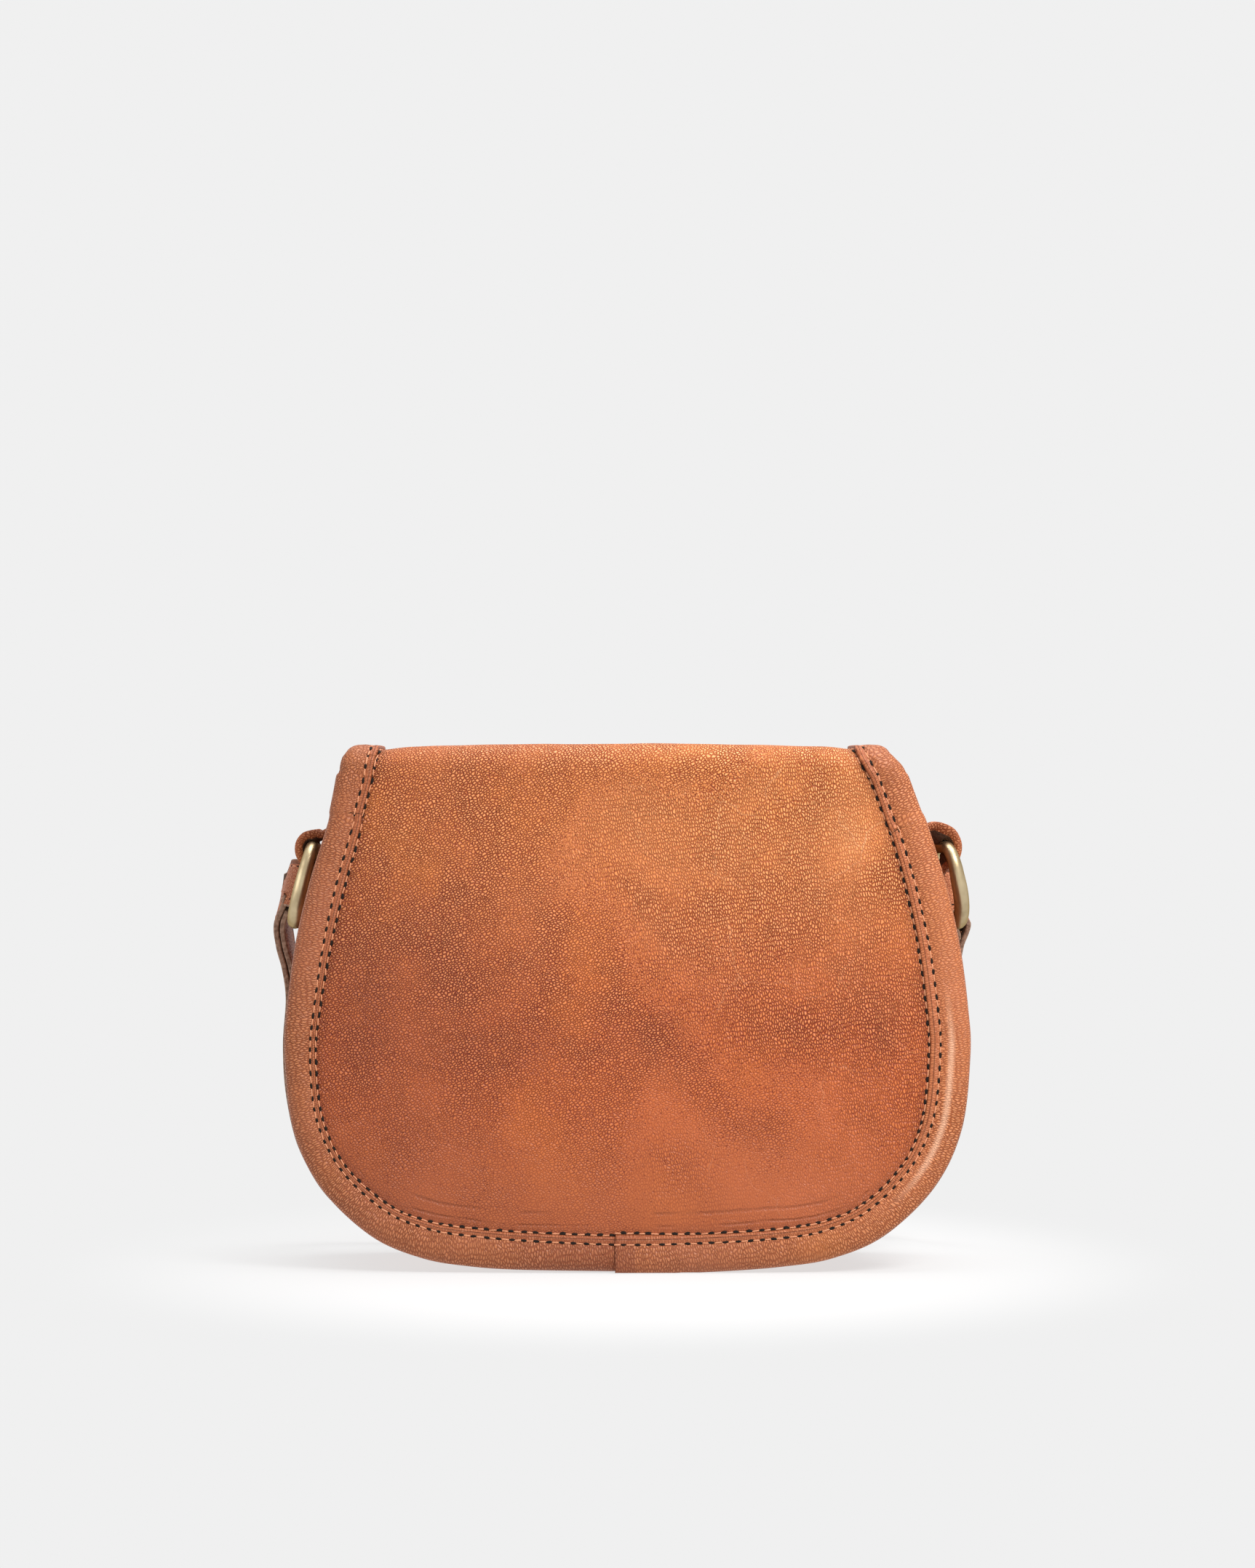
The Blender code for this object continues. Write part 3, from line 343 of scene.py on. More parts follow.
def polar_sheet(name, outer, inner, materials, skin_uv, seam=None):
    """A closed sheet from two discs of rings, each starting at the shared border, with a rim between.

    A list of two materials gives the second one to the inner disc.
    """
    count = outer.shape[1]
    parts, quads, triangles, uvs, seams = [], [], [], [], []
    first = 0
    for disc, uv, near in ((outer, skin_uv[0], seam), (inner, skin_uv[1], None)):
        rings = disc.shape[0]
        parts += [disc.reshape(-1, 3), disc[-1].mean(axis=0, keepdims=True)]
        uvs += [uv.reshape(-1, 2), uv[-1].mean(axis=0, keepdims=True)]
        near = np.zeros(disc.shape[:2] + (2,)) if near is None else near
        seams += [near.reshape(-1, 2), near[-1].mean(axis=0, keepdims=True)]
        faces = grid_faces(rings, count, wrap_columns=True, first=first)
        fan = fan_faces(np.arange(count) + first + (rings - 1) * count, first + rings * count)
        turned = len(quads) > 0
        quads.append(faces[:, ::-1] if turned else faces)
        triangles.append(fan[:, ::-1] if not turned else fan)
        first += rings * count + 1
    start = outer.shape[0] * count + 1
    i = np.arange(count)
    k = (i + 1) % count
    quads.append(np.stack([i, start + i, start + k, k], axis=-1))
    triangles = [t[:, ::-1] for t in triangles]
    slots = np.repeat((0, 1, 0), [len(part) for part in quads]) if isinstance(materials, list) else None
    return add_piece(name, np.vstack(parts), np.vstack(quads), materials, np.vstack(triangles),
                     skin_uv=np.vstack(uvs), seam=np.vstack(seams), slots=slots, flat=count)


def scattered(name, shape, centres, axes, material):
    """One mesh of many copies of a small closed shape (points, quads, triangles), each on its own axes."""
    points, quads, triangles = shape
    placed = centres[:, None, :] + np.einsum("pk,nkd->npd", points, axes)
    steps = np.arange(len(centres))[:, None, None] * len(points)
    return add_piece(name, placed, (quads[None] + steps).reshape(-1, 4), material,
                     (triangles[None] + steps).reshape(-1, 3))


def bead(rings=5, sides=8, squareness=0.75):
    """A small closed ellipsoid with blunt ends, of half size one, long along its first axis."""
    turn = np.linspace(0, math.pi, rings + 2)[1:-1]
    x = -np.sign(np.cos(turn)) * np.abs(np.cos(turn)) ** squareness
    radius = np.sin(turn) ** squareness
    around = np.arange(sides) * 2 * math.pi / sides
    body = np.stack([np.repeat(x[:, None], sides, axis=1), radius[:, None] * np.cos(around),
                     radius[:, None] * np.sin(around)], axis=-1).reshape(-1, 3)
    points = np.vstack([body, [(-1, 0, 0), (1, 0, 0)]])
    quads = grid_faces(rings, sides, wrap_columns=True)
    triangles = np.vstack([fan_faces(np.arange(sides)[::-1], rings * sides),
                           fan_faces(np.arange(sides) + (rings - 1) * sides, rings * sides + 1)])
    return points, quads, triangles


# Materials


def finish(name, **sockets):
    """A material with a Principled shader and its constant sockets set."""
    material = bpy.data.materials.new(name)
    material.use_nodes = True
    shader = material.node_tree.nodes["Principled BSDF"]
    for socket, value in sockets.items():
        shader.inputs[socket.replace("_", " ")].default_value = value
    return material


def node(material, kind, inputs=None, **settings):
    """A node in a material, with its settings and inputs; an input may be another node's output."""
    made = material.node_tree.nodes.new(kind)
    for key, value in settings.items():
        setattr(made, key, value)
    for key, value in (inputs or {}).items():
        if isinstance(value, bpy.types.NodeSocket):
            material.node_tree.links.new(value, made.inputs[key])
        else:
            made.inputs[key].default_value = value
    return made


def maths(material, operation, first, second=0.0):
    """The result of one sum on two values."""
    return node(material, "ShaderNodeMath", {0: first, 1: second}, operation=operation).outputs[0]


def vector_maths(material, operation, inputs):
    """The outputs of one sum on vectors."""
    return node(material, "ShaderNodeVectorMath", inputs, operation=operation).outputs


def remap(material, value, low, high, to_low=0.0, to_high=1.0):
    """A value moved smoothly from one range to another, and held at its ends."""
    made = node(material, "ShaderNodeMapRange", {"Value": value, 1: low, 2: high, 3: to_low, 4: to_high},
                interpolation_type="SMOOTHSTEP")
    return made.outputs[0]


def between(material, value, rise, fall):
    """A share that rises to one over the first range of a value, and falls to nothing over the second."""
    return maths(material, "MULTIPLY", remap(material, value, *rise), remap(material, value, *fall, 1.0, 0.0))


def noise(material, vector, scale, detail=2.0, roughness=0.5):
    """Cloudy noise from 0 to 1."""
    made = node(material, "ShaderNodeTexNoise", {
        "Vector": vector, "Scale": scale, "Detail": detail, "Roughness": roughness})
    return made.outputs["Fac"]


def mixed(material, share, first, second, blend="MIX"):
    """Two colours mixed by a share."""
    made = node(material, "ShaderNodeMix", {0: share, 6: first, 7: second}, data_type="RGBA",
                blend_type=blend)
    return made.outputs[2]


def dyed(material, share, colour, tone):
    """A colour multiplied by a tone, by a share."""
    return mixed(material, share, colour, mixed(material, 1.0, colour, (*tone, 1), "MULTIPLY"))


def connect(material, colour, height, strength, distance, rough=None):
    """The material, with a colour, a relief and perhaps a roughness joined to its shader."""
    shader = material.node_tree.nodes["Principled BSDF"]
    material.node_tree.links.new(colour, shader.inputs["Base Color"])
    if rough is not None:
        material.node_tree.links.new(rough, shader.inputs["Roughness"])
    bump = node(material, "ShaderNodeBump", {"Height": height, "Strength": strength, "Distance": distance})
    material.node_tree.links.new(bump.outputs[0], shader.inputs["Normal"])
    return material


def stretched(material, vector, size, turn=0.0):
    """Coordinates divided by a size along each axis, after a turn in their plane."""
    turned = node(material, "ShaderNodeMapping", {"Vector": vector, "Rotation": (0, 0, turn)},
                  vector_type="POINT").outputs[0]
    return node(material, "ShaderNodeMapping", {"Vector": turned, "Scale": (1 / size[0], 1 / size[1], 1)},
                vector_type="POINT").outputs[0]


def leather(name, light, dark, cells, relief=0.00026, gloss=0.50, sheen=0.36, tones=(0.14, 0.86),
            glint_tint=(1.20, 1.45, 2.0), smooth_low=False, seam=None):
    """Grained goat leather on the skin map: pale domes with darker, redder pits between them. The pits' dark
    is partly the leather's own tone and partly painted shade.

    cells gives two sizes and turns of Voronoi cells, which wide noise mixes and finer noise bends. Where
    noise makes the leather smoother, pits and relief fade. Slow noise shifts the dye towards red or orange.
    tones gives the heights of the darkest pits and of the plain colour. The tint for the highest domes
    multiplies the light colour there: a painted highlight, standing in for glints on the grain. smooth_low
    fades the grain towards the bottom of the panel.
    """
    material = finish(name, Roughness=gloss, Specular_IOR_Level=sheen)
    uv = node(material, "ShaderNodeUVMap", uv_map="skin").outputs[0]
    bend = node(material, "ShaderNodeTexNoise", {"Vector": uv, "Scale": 130.0, "Detail": 2.0})
    shift = vector_maths(material, "SUBTRACT", {0: bend.outputs["Color"], 1: (0.5, 0.5, 0.5)})[0]
    shift = vector_maths(material, "SCALE", {0: shift, "Scale": 0.0026})[0]
    bent = vector_maths(material, "ADD", {0: uv, 1: shift})[0]
    domes = []
    for size, turn in cells:
        spots = node(material, "ShaderNodeTexVoronoi", {
            "Vector": stretched(material, bent, size, turn), "Scale": 1.0, "Randomness": 0.85},
            feature="DISTANCE_TO_EDGE", voronoi_dimensions="2D").outputs["Distance"]
        domes.append(remap(material, spots, 0.0, 0.34))
    parts = node(material, "ShaderNodeSeparateXYZ", {0: uv}).outputs
    side = maths(material, "ADD", noise(material, uv, 15.0, 1.0), maths(material, "MULTIPLY", parts[0], 3.0))
    height = mixed(material, remap(material, side, 0.44, 0.66), *domes)
    fine = noise(material, bent, 1500.0, 2.0, 0.6)
    height = mixed(material, 0.16, height, fine)
    strength = remap(material, noise(material, uv, 46.0, 2.0, 0.6), 0.30, 0.70, 0.60, 1.0)
    if smooth_low:
        strength = maths(material, "MULTIPLY", strength, remap(material, parts[1], -0.148, -0.080, 0.30, 1.0))
    pit = maths(material, "SUBTRACT", height, 0.55)
    height = maths(material, "ADD", maths(material, "MULTIPLY", pit, strength), 0.55)
    spots = node(material, "ShaderNodeTexVoronoi", {
        "Vector": uv, "Scale": 330.0, "Randomness": 1.0}, voronoi_dimensions="2D").outputs["Distance"]
    pores = remap(material, spots, 0.05, 0.14, 0.45, 0.0)
    height = maths(material, "SUBTRACT", height, maths(material, "MULTIPLY", pores, strength))
    # Dark pits: partly the leather's own tone, partly painted shade
    shade = remap(material, height, *tones)
    colour = mixed(material, shade, (*dark, 1), (*light, 1))
    # Painted highlight: the highest domes are lifted to a paler, less red colour, standing in for glints
    colour = mixed(material, remap(material, height, 0.66, 1.0, 0.0, 0.60), colour,
                   (light[0] * glint_tint[0], light[1] * glint_tint[1], light[2] * glint_tint[2], 1))
    wide = noise(material, uv, 19.0, 3.0, 0.55)
    colour = mixed(material, remap(material, wide, 0.42, 0.70, 0.0, 0.5), colour,
                   (light[0] * 0.86, light[1] * 0.80, light[2] * 0.98, 1))
    colour = mixed(material, remap(material, wide, 0.26, 0.46, 0.35, 0.0), colour,
                   (light[0] * 1.06, light[1] * 1.02, light[2] * 0.72, 1))
    relief_height = height
    if seam is not None:
        colour, relief_height = seam(material, colour, height)
    rough = remap(material, height, 0.1, 0.9, gloss + 0.14, gloss - 0.06)
    return connect(material, colour, relief_height, 1.0, relief, rough)


def line_at(material, value, middle, half):
    """A share that is one where the value meets a middle, and falls to nothing within half a width."""
    away = maths(material, "ABSOLUTE", maths(material, "SUBTRACT", value, middle))
    return remap(material, away, 0.0, half, 1.0, 0.0)


# Marks on the panels: middle and size on the skin map, share at the middle, and how they change the
# colour. The stains darken. Of the pale marks, the one high on the right at 0.072 is a painted highlight,
# a sheen, and the broad one in the middle is a paler patch.
stain, pale_patch_and_sheen = (0.50, 0.45, 0.50), (1.35, 1.75, 2.40)
panel_marks = (
    ((-0.0400, -0.0880), (0.036, 0.011), 0.20, stain), ((0.0080, -0.0850), (0.022, 0.012), 0.15, stain),
    ((0.0404, -0.1150), (0.015, 0.010), 0.17, stain), ((-0.0840, -0.0740), (0.013, 0.026), 0.30, stain),
    ((0.0800, -0.0900), (0.010, 0.032), 0.09, stain), ((0.0720, -0.0230), (0.010, 0.015), 0.26, pale_patch_and_sheen),
    ((0.0300, -0.0540), (0.032, 0.022), 0.14, pale_patch_and_sheen), ((-0.0750, -0.1150), (0.020, 0.016), 0.07, stain),
)


def panel_seam(material, colour, height):
    """Creases beside the stitches low on the panel, dented and painted darker as shade in the folds; pale
    veins high on its right; and a painted shade line by the binding. Painted shade darkens the panel towards
    the lower left and along its bottom, painted light and sheen lift its upper part, and its marks are
    stains, pale patches and one painted sheen.
    """
    stored = node(material, "ShaderNodeAttribute", attribute_name="seam").outputs["Vector"]
    inside = node(material, "ShaderNodeSeparateXYZ", {0: stored}).outputs[1]
    uv = node(material, "ShaderNodeUVMap", uv_map="skin").outputs[0]
    split = node(material, "ShaderNodeSeparateXYZ", {0: uv}).outputs
    across, up = split[0], split[1]
    sway = maths(material, "MULTIPLY", noise(material, stored, 24.0, 2.0), 0.0040)
    place = maths(material, "ADD", inside, sway)
    low = remap(material, up, -0.134, -0.122, 1.0, 0.0)
    broken = remap(material, noise(material, stored, 55.0, 2.0), 0.40, 0.58)
    crease = maths(material, "ADD", line_at(material, place, 0.0048, 0.0007),
                   line_at(material, place, 0.0088, 0.0009))
    crease = maths(material, "MULTIPLY", maths(material, "MULTIPLY", crease, low), broken)
    # Painted shade in the creases, which are also dented in the relief below
    colour = mixed(material, maths(material, "MULTIPLY", crease, 0.34), colour, (0.30, 0.062, 0.016, 1))
    height = maths(material, "SUBTRACT", height, maths(material, "MULTIPLY", crease, 0.6))
    bend = node(material, "ShaderNodeTexNoise", {"Vector": uv, "Scale": 90.0}).outputs["Color"]
    bend = vector_maths(material, "SCALE", {0: bend, "Scale": 0.012})[0]
    bent = vector_maths(material, "ADD", {0: uv, 1: bend})[0]
    web = node(material, "ShaderNodeTexVoronoi", {
        "Vector": stretched(material, bent, (0.030, 0.018), 0.9), "Scale": 1.0},
        feature="DISTANCE_TO_EDGE", voronoi_dimensions="2D").outputs["Distance"]
    vein = maths(material, "MULTIPLY", remap(material, web, 0.0, 0.014, 1.0, 0.0),
                 remap(material, noise(material, uv, 38.0, 1.0), 0.48, 0.62))
    vein = maths(material, "MULTIPLY", vein, remap(material, across, 0.005, 0.035, 0.12, 0.42))
    colour = mixed(material, vein, colour, (0.68, 0.235, 0.100, 1))
    # Painted shade: darker towards the left, most below the top
    left_painted_shade = maths(material, "MULTIPLY", remap(material, across, -0.090, 0.000, 0.44, 0.0),
                   remap(material, up, -0.060, 0.0, 1.0, 0.40))
    colour = dyed(material, left_painted_shade, colour, (0.54, 0.48, 0.52))
    # Painted shade along the bottom of the panel
    colour = dyed(material, remap(material, up, -0.145, -0.100, 1.0, 0.0), colour, (0.83, 0.89, 1.08))
    # Painted light and sheen: the upper part of the panel, most on the right, is made paler and more yellow
    top_painted_sheen = maths(material, "MULTIPLY", remap(material, across, -0.060, 0.050, 0.40, 0.68),
                 remap(material, up, -0.090, -0.010))
    colour = dyed(material, top_painted_sheen, colour, (1.36, 2.08, 2.34))
    # Stains and pale patches, one of them a painted sheen highlight
    for middle, size, share, tone in panel_marks:
        offset = vector_maths(material, "SUBTRACT", {0: uv, 1: (*middle, 0)})[0]
        away = vector_maths(material, "LENGTH", {0: stretched(material, offset, size)})["Value"]
        ragged = maths(material, "MULTIPLY", noise(material, uv, 60.0, 3.0, 0.6), 1.2)
        away = maths(material, "ADD", away, ragged)
        colour = dyed(material, remap(material, away, 0.6, 1.7, share, 0.0), colour, tone)
    # Painted shade: a dark line where the panel runs in under the binding, and a softer darkening beside it
    edge = maths(material, "MAXIMUM", remap(material, inside, 0.0001, 0.0010, 0.75, 0.0),
                 remap(material, inside, 0.0, 0.0045, 0.28, 0.0))
    colour = mixed(material, edge, colour, (0.110, 0.026, 0.010, 1))
    return colour, height


def binding_seam(material, colour, height):
    """Between its two rows of stitches the binding is flatter and redder, with a fine groove. Painted shade
    darkens that groove, the outer row's line and the strip's inner edge.

    Along its run it is darker before the lap; painted light brightens it after the lap, and a painted
    highlight lies along its crest low on the right.
    """
    uv = node(material, "ShaderNodeUVMap", uv_map="skin").outputs[0]
    split = node(material, "ShaderNodeSeparateXYZ", {0: uv}).outputs
    run, across = split[0], split[1]
    # Darker towards the lap on the left strip
    darker_before_lap = between(material, run, (0.225, 0.272), (0.2790, 0.2800))
    colour = mixed(material, maths(material, "MULTIPLY", darker_before_lap, 0.38), colour, (0.200, 0.044, 0.018, 1))
    # Painted light: the right strip, after the lap, is brighter
    right_painted_light = between(material, run, (0.290, 0.400), (0.500, 0.540))
    colour = dyed(material, maths(material, "MULTIPLY", right_painted_light, 0.70), colour, (1.45, 1.50, 1.40))
    # Painted highlight along the crest of the roll, low on the right
    painted_crest_highlight = maths(material, "MULTIPLY", line_at(material, across, 0.0036, 0.0017),
                  between(material, run, (0.365, 0.395), (0.425, 0.455)))
    colour = mixed(material, maths(material, "MULTIPLY", painted_crest_highlight, 0.75), colour, (0.880, 0.480, 0.300, 1))
    strip = between(material, across, (-0.0027, -0.0022), (-0.0006, -0.0001))
    colour = mixed(material, maths(material, "MULTIPLY", strip, 0.40), colour, (0.42, 0.112, 0.040, 1))
    # Painted shade in the groove between the rows, along the outer row and at the strip's inner edge; they
    # are dented in the relief too
    groove = line_at(material, across, -0.0015, 0.00022)
    row = line_at(material, across, 0.0, 0.00035)
    rim = remap(material, across, -0.00262, -0.00225, 1.0, 0.0)
    dark = maths(material, "MAXIMUM", maths(material, "MAXIMUM", groove, row), rim)
    colour = mixed(material, maths(material, "MULTIPLY", dark, 0.42), colour, (0.085, 0.022, 0.010, 1))
    height = maths(material, "MULTIPLY", height, remap(material, strip, 0.0, 1.0, 1.0, 0.60))
    height = maths(material, "SUBTRACT", height, maths(material, "MULTIPLY", dark, 0.8))
    return colour, height


def fibre_finish(name, roughness, shine, scale, fibre_roughness, limits, colours, relief):
    """Short noise fibres between two colours, from object coordinates: a flesh side or a cut edge."""
    material = finish(name, Roughness=roughness, Specular_IOR_Level=shine)
    place = node(material, "ShaderNodeTexCoord").outputs["Object"]
    fibres = noise(material, place, scale, 3.0, fibre_roughness)
    colour = mixed(material, remap(material, fibres, *limits), (*colours[0], 1), (*colours[1], 1))
    return connect(material, colour, fibres, relief, 0.0002)


def brass_finish():
    """Antique brass: brushed, with darker patina in broad patches."""
    material = finish("antique_brass_brushed", Metallic=1.0, Roughness=0.34,
                      Specular_Tint=(0.55, 0.45, 0.30, 1))
    place = node(material, "ShaderNodeTexCoord").outputs["Object"]
    patina = noise(material, place, 90.0, 3.0, 0.6)
    colour = mixed(material, remap(material, patina, 0.35, 0.75), (0.62, 0.50, 0.31, 1),
                   (0.36, 0.27, 0.155, 1))
    brushed = node(material, "ShaderNodeMapping", {"Vector": place, "Scale": (900, 900, 160)}).outputs[0]
    lines = noise(material, brushed, 2.0, 3.0, 0.7)
    return connect(material, colour, lines, 0.35, 0.00006, remap(material, patina, 0.3, 0.8, 0.30, 0.46))


def lining_finish():
    """Brown cotton twill: fine diagonal ribs on the skin map."""
    material = finish("lining_twill", Roughness=0.9, Specular_IOR_Level=0.2, Sheen_Weight=0.25)
    uv = node(material, "ShaderNodeUVMap", uv_map="skin").outputs[0]
    turned = node(material, "ShaderNodeMapping", {"Vector": uv, "Rotation": (0, 0, 0.8)}).outputs[0]
    ribs = node(material, "ShaderNodeTexWave", {"Vector": turned, "Scale": 340.0, "Distortion": 0.6,
                                                "Detail": 1.0, "Detail Scale": 3.0}).outputs["Fac"]
    fibres = noise(material, uv, 2200.0, 2.0, 0.6)
    weave = mixed(material, 0.4, ribs, fibres)
    colour = mixed(material, weave, (0.105, 0.055, 0.030, 1), (0.23, 0.13, 0.075, 1))
    return connect(material, colour, weave, 0.8, 0.0001)


panel_cells = (((0.00080, 0.00110), 1.00), ((0.00072, 0.00136), -0.12))
binding_cells = (((0.00080, 0.00120), 0.60), ((0.00074, 0.00175), 0.12))
panel_leather = leather("panel_goat_leather", (0.705, 0.177, 0.040), (0.235, 0.022, 0.001), panel_cells,
                        relief=0.00044, gloss=0.46, sheen=0.44, tones=(0.10, 0.92),
                        glint_tint=(1.16, 1.80, 3.4), smooth_low=True, seam=panel_seam)
binding_goat = leather("binding_goat_leather", (0.500, 0.165, 0.060), (0.240, 0.055, 0.015), binding_cells,
                       gloss=0.44, sheen=0.36, tones=(0.10, 0.95), seam=binding_seam)
strap_goat = leather("strap_goat_leather", (0.545, 0.188, 0.074), (0.280, 0.063, 0.019), panel_cells)
thread_wax = finish("tan_thread", Roughness=0.45, Base_Color=(0.72, 0.30, 0.15, 1), Specular_IOR_Level=0.4)
# Near-black beads where the holes are: painted shade standing for the holes
hole_shade = finish("stitch_hole_shade", Base_Color=(0.012, 0.007, 0.005, 1), Roughness=0.8, Specular_IOR_Level=0.2)
flesh_side = fibre_finish("flesh_side", 0.95, 0.15, 1400.0, 0.7, (0.3, 0.7),
                          ((0.075, 0.045, 0.033), (0.16, 0.095, 0.066)), 0.8)
cut_edge = fibre_finish("cut_edge", 0.6, 0.3, 700.0, 0.6, (0.35, 0.65),
                        ((0.20, 0.105, 0.066), (0.40, 0.24, 0.165)), 0.5)
antique_brass = brass_finish()
lining_twill = lining_finish()


# The outline of the skin and its seam


def seam_line(points, rows):
    """The seam as even samples: place, outward direction, distance along, and its rows and holes.

    There is a whole number of stitches, each a fixed number of samples long, with uneven holes. The
    distances of both rows from the outline follow the table of rows, eased between its lines.
    """
    rough = smooth_curve(points, 400)
    count = round(lengths_along(rough)[-1] / stitch_pitch)
    place = smooth_curve(points, count * columns_per_stitch)
    along = unit(np.gradient(place, axis=0))
    outward = np.column_stack([along[:, 1], -along[:, 0]])
    distance = lengths_along(place)
    seam = {"place": place, "outward": outward, "distance": distance}
    window = np.ones(25) / 25
    for number, row in enumerate(("outer", "inner")):
        level = np.interp(distance / distance[-1], rows[:, 0], rows[:, number + 1]) / 1000
        seam[row] = np.convolve(np.pad(level, 12, mode="edge"), window, mode="valid")
        jitter = rng.uniform(-0.09, 0.09, count)
        seam[f"{row}_holes"] = (np.arange(count) + 0.5 + jitter) * distance[-1] / count
    return seam


def hole_share(distance, holes, reach):
    """How near each distance is to a hole: 1 at its middle, falling off over the reach."""
    spots = np.clip(np.searchsorted(holes, distance), 1, len(holes) - 1)
    gap = np.minimum(np.abs(distance - holes[spots - 1]), np.abs(distance - holes[spots]))
    return np.exp(-(gap / reach) ** 2)


# The outline above the hinge line on each side, as x and distance along, over the top to the front fold
top_outline = {
    -1: np.array((
        (0.0938, -0.0010), (0.0935, 0.0030), (0.0929, 0.0075), (0.0921, 0.0125), (0.0912, top_middle),
        (0.0917, fold_at - 0.0060), (0.0921, fold_at + 0.0010))),
    1: np.array((
        (0.0904, -0.0010), (0.0887, 0.0032), (0.0866, 0.0072), (0.0853, 0.0120), (0.0848, top_middle),
        (0.0854, fold_at - 0.0060), (0.0871, fold_at + 0.0010))),
}


def skin_side(side):
    """One side of the skin's outline: the back from its bottom centre, the top, and the flap to its end."""
    back = back_outline * (side, 1) - (0, hinge_height)
    back = back[back[:, 1] < -0.014]
    near_top = (0.0959, 0.0948) if side < 0 else (0.0946, 0.0925)
    back = np.vstack([back, [(side * near_top[0], -0.0125), (side * near_top[1], -0.0068)]])
    over = top_outline[side] * (side, 1)
    flap = flap_outline_shares * (side * flap_half_width, fold_at - flap_end) + (0, flap_end)
    return back, over, flap


def back_seam_points():
    """The back's outline from the middle of the top on the left, round the bottom, to the right."""
    sides = []
    for side in (-1, 1):
        back, over, _ = skin_side(side)
        sides.append(np.vstack([back, over[:5]]))
    return np.vstack([sides[0][::-1], sides[1][1:]])


def flap_seam_points():
    """The flap's outline from the middle of the top on the right, round its lower edge, to the left."""
    sides = []
    for side in (1, -1):
        _, over, flap = skin_side(side)
        sides.append(np.vstack([flap, over[4:][::-1]]))
    return np.vstack([sides[0][::-1], sides[1][1:]])


back_seam = seam_line(back_seam_points(), back_rows)
flap_seam = seam_line(flap_seam_points(), flap_rows)


def front_seam_points():
    """The front panel's outline, as on the back up to the mouth."""
    right = back_outline - (0, hinge_height)
    right = np.vstack([right[right[:, 1] < mouth_height - hinge_height - 0.004],
                       [(np.interp(mouth_height, back_outline[:, 1], back_outline[:, 0]),
                         mouth_height - hinge_height)]])
    return np.vstack([(right * (-1, 1))[::-1], right[1:]])


front_seam = seam_line(front_seam_points(), even_rows)


def near_seam(x, along, seam):
    """How far rings of points lie beyond the inner row, and their distance along the seam."""
    beyond = np.empty(x.shape)
    spot = np.empty(x.shape)
    for ring in range(x.shape[0]):
        away = (x[ring][:, None] - seam["place"][None, :, 0]) ** 2
        away += (along[ring][:, None] - seam["place"][None, :, 1]) ** 2
        nearest = np.argmin(away, axis=1)
        offset = np.column_stack([x[ring], along[ring]]) - seam["place"][nearest]
        outward = seam["outward"][nearest]
        level = np.column_stack([-outward[:, 1], outward[:, 0]])
        past = np.maximum(np.abs(np.sum(offset * level, axis=1)) - stitch_pitch, 0)
        beyond[ring] = np.hypot(np.sum(offset * outward, axis=1), past) - seam["inner"][nearest]
        spot[ring] = seam["distance"][nearest] + np.sum(offset * level, axis=1)
    return beyond, spot


def arch(x, along):
    """How far the leather over the top rises between its bindings: a low arch from side to side."""
    top = ease(along, -0.016, 0.006) * (1 - ease(along, fold_at - 0.002, fold_at + 0.010))
    return 0.0012 * top * (1 - (x / 0.078) ** 2)


def ripple(x, along, size):
    """Slow uneven hills on the leather, a sum of a few crossing sine waves."""
    wave = np.sin(x * 71 + along * 23 + 1.0) * np.sin(along * 64 - x * 17 + 2.0)
    wave += 0.6 * np.sin(x * 131 - along * 45 + 0.3) * np.sin(along * 118 + x * 39)
    wave += 0.35 * np.sin(x * 263 + along * 190 + 4.0) * np.sin(along * 231 - x * 88)
    return wave * size


def panel_rings(seam, start, tuck=0.0):
    """Rings of points from just under the binding to the middle of a panel, closed by a straight top row.

    Near the seam the rings are close together, and towards the middle they shrink on to one point. tuck
    moves the closing row on past the seam's ends.
    """
    border = seam["place"] - seam["outward"] * np.reshape(start, (-1, 1))
    window = np.ones(13) / 13
    for axis in (0, 1):
        border[6:-6, axis] = np.convolve(border[:, axis], window, mode="valid")
    closing = np.linspace(border[-1], border[0], 60)[1:-1] + (0, tuck)
    border = np.vstack([border, closing])
    centre = np.array([0.0, (border[:, 1].min() + border[:, 1].max()) / 2])
    radial = border - centre
    size = np.linalg.norm(radial, axis=1, keepdims=True)
    near = np.array([0, 0.9, 1.4, 1.7, 2.0, 2.3, 2.7, 3.3, 4.1, 5.1, 6.3, 7.8, 9.4, 11.2, 13.2]) / 1000
    near_rings = radial[None] * (1 - near[:, None, None] * 1.12 / size[None])
    last = near_rings[-1]
    shrink = np.linspace(1, 0, 34)[1:-1][:, None, None]
    far_rings = last[None] * shrink
    rings = np.concatenate([near_rings, far_rings]) + centre
    return rings[..., 0], rings[..., 1]


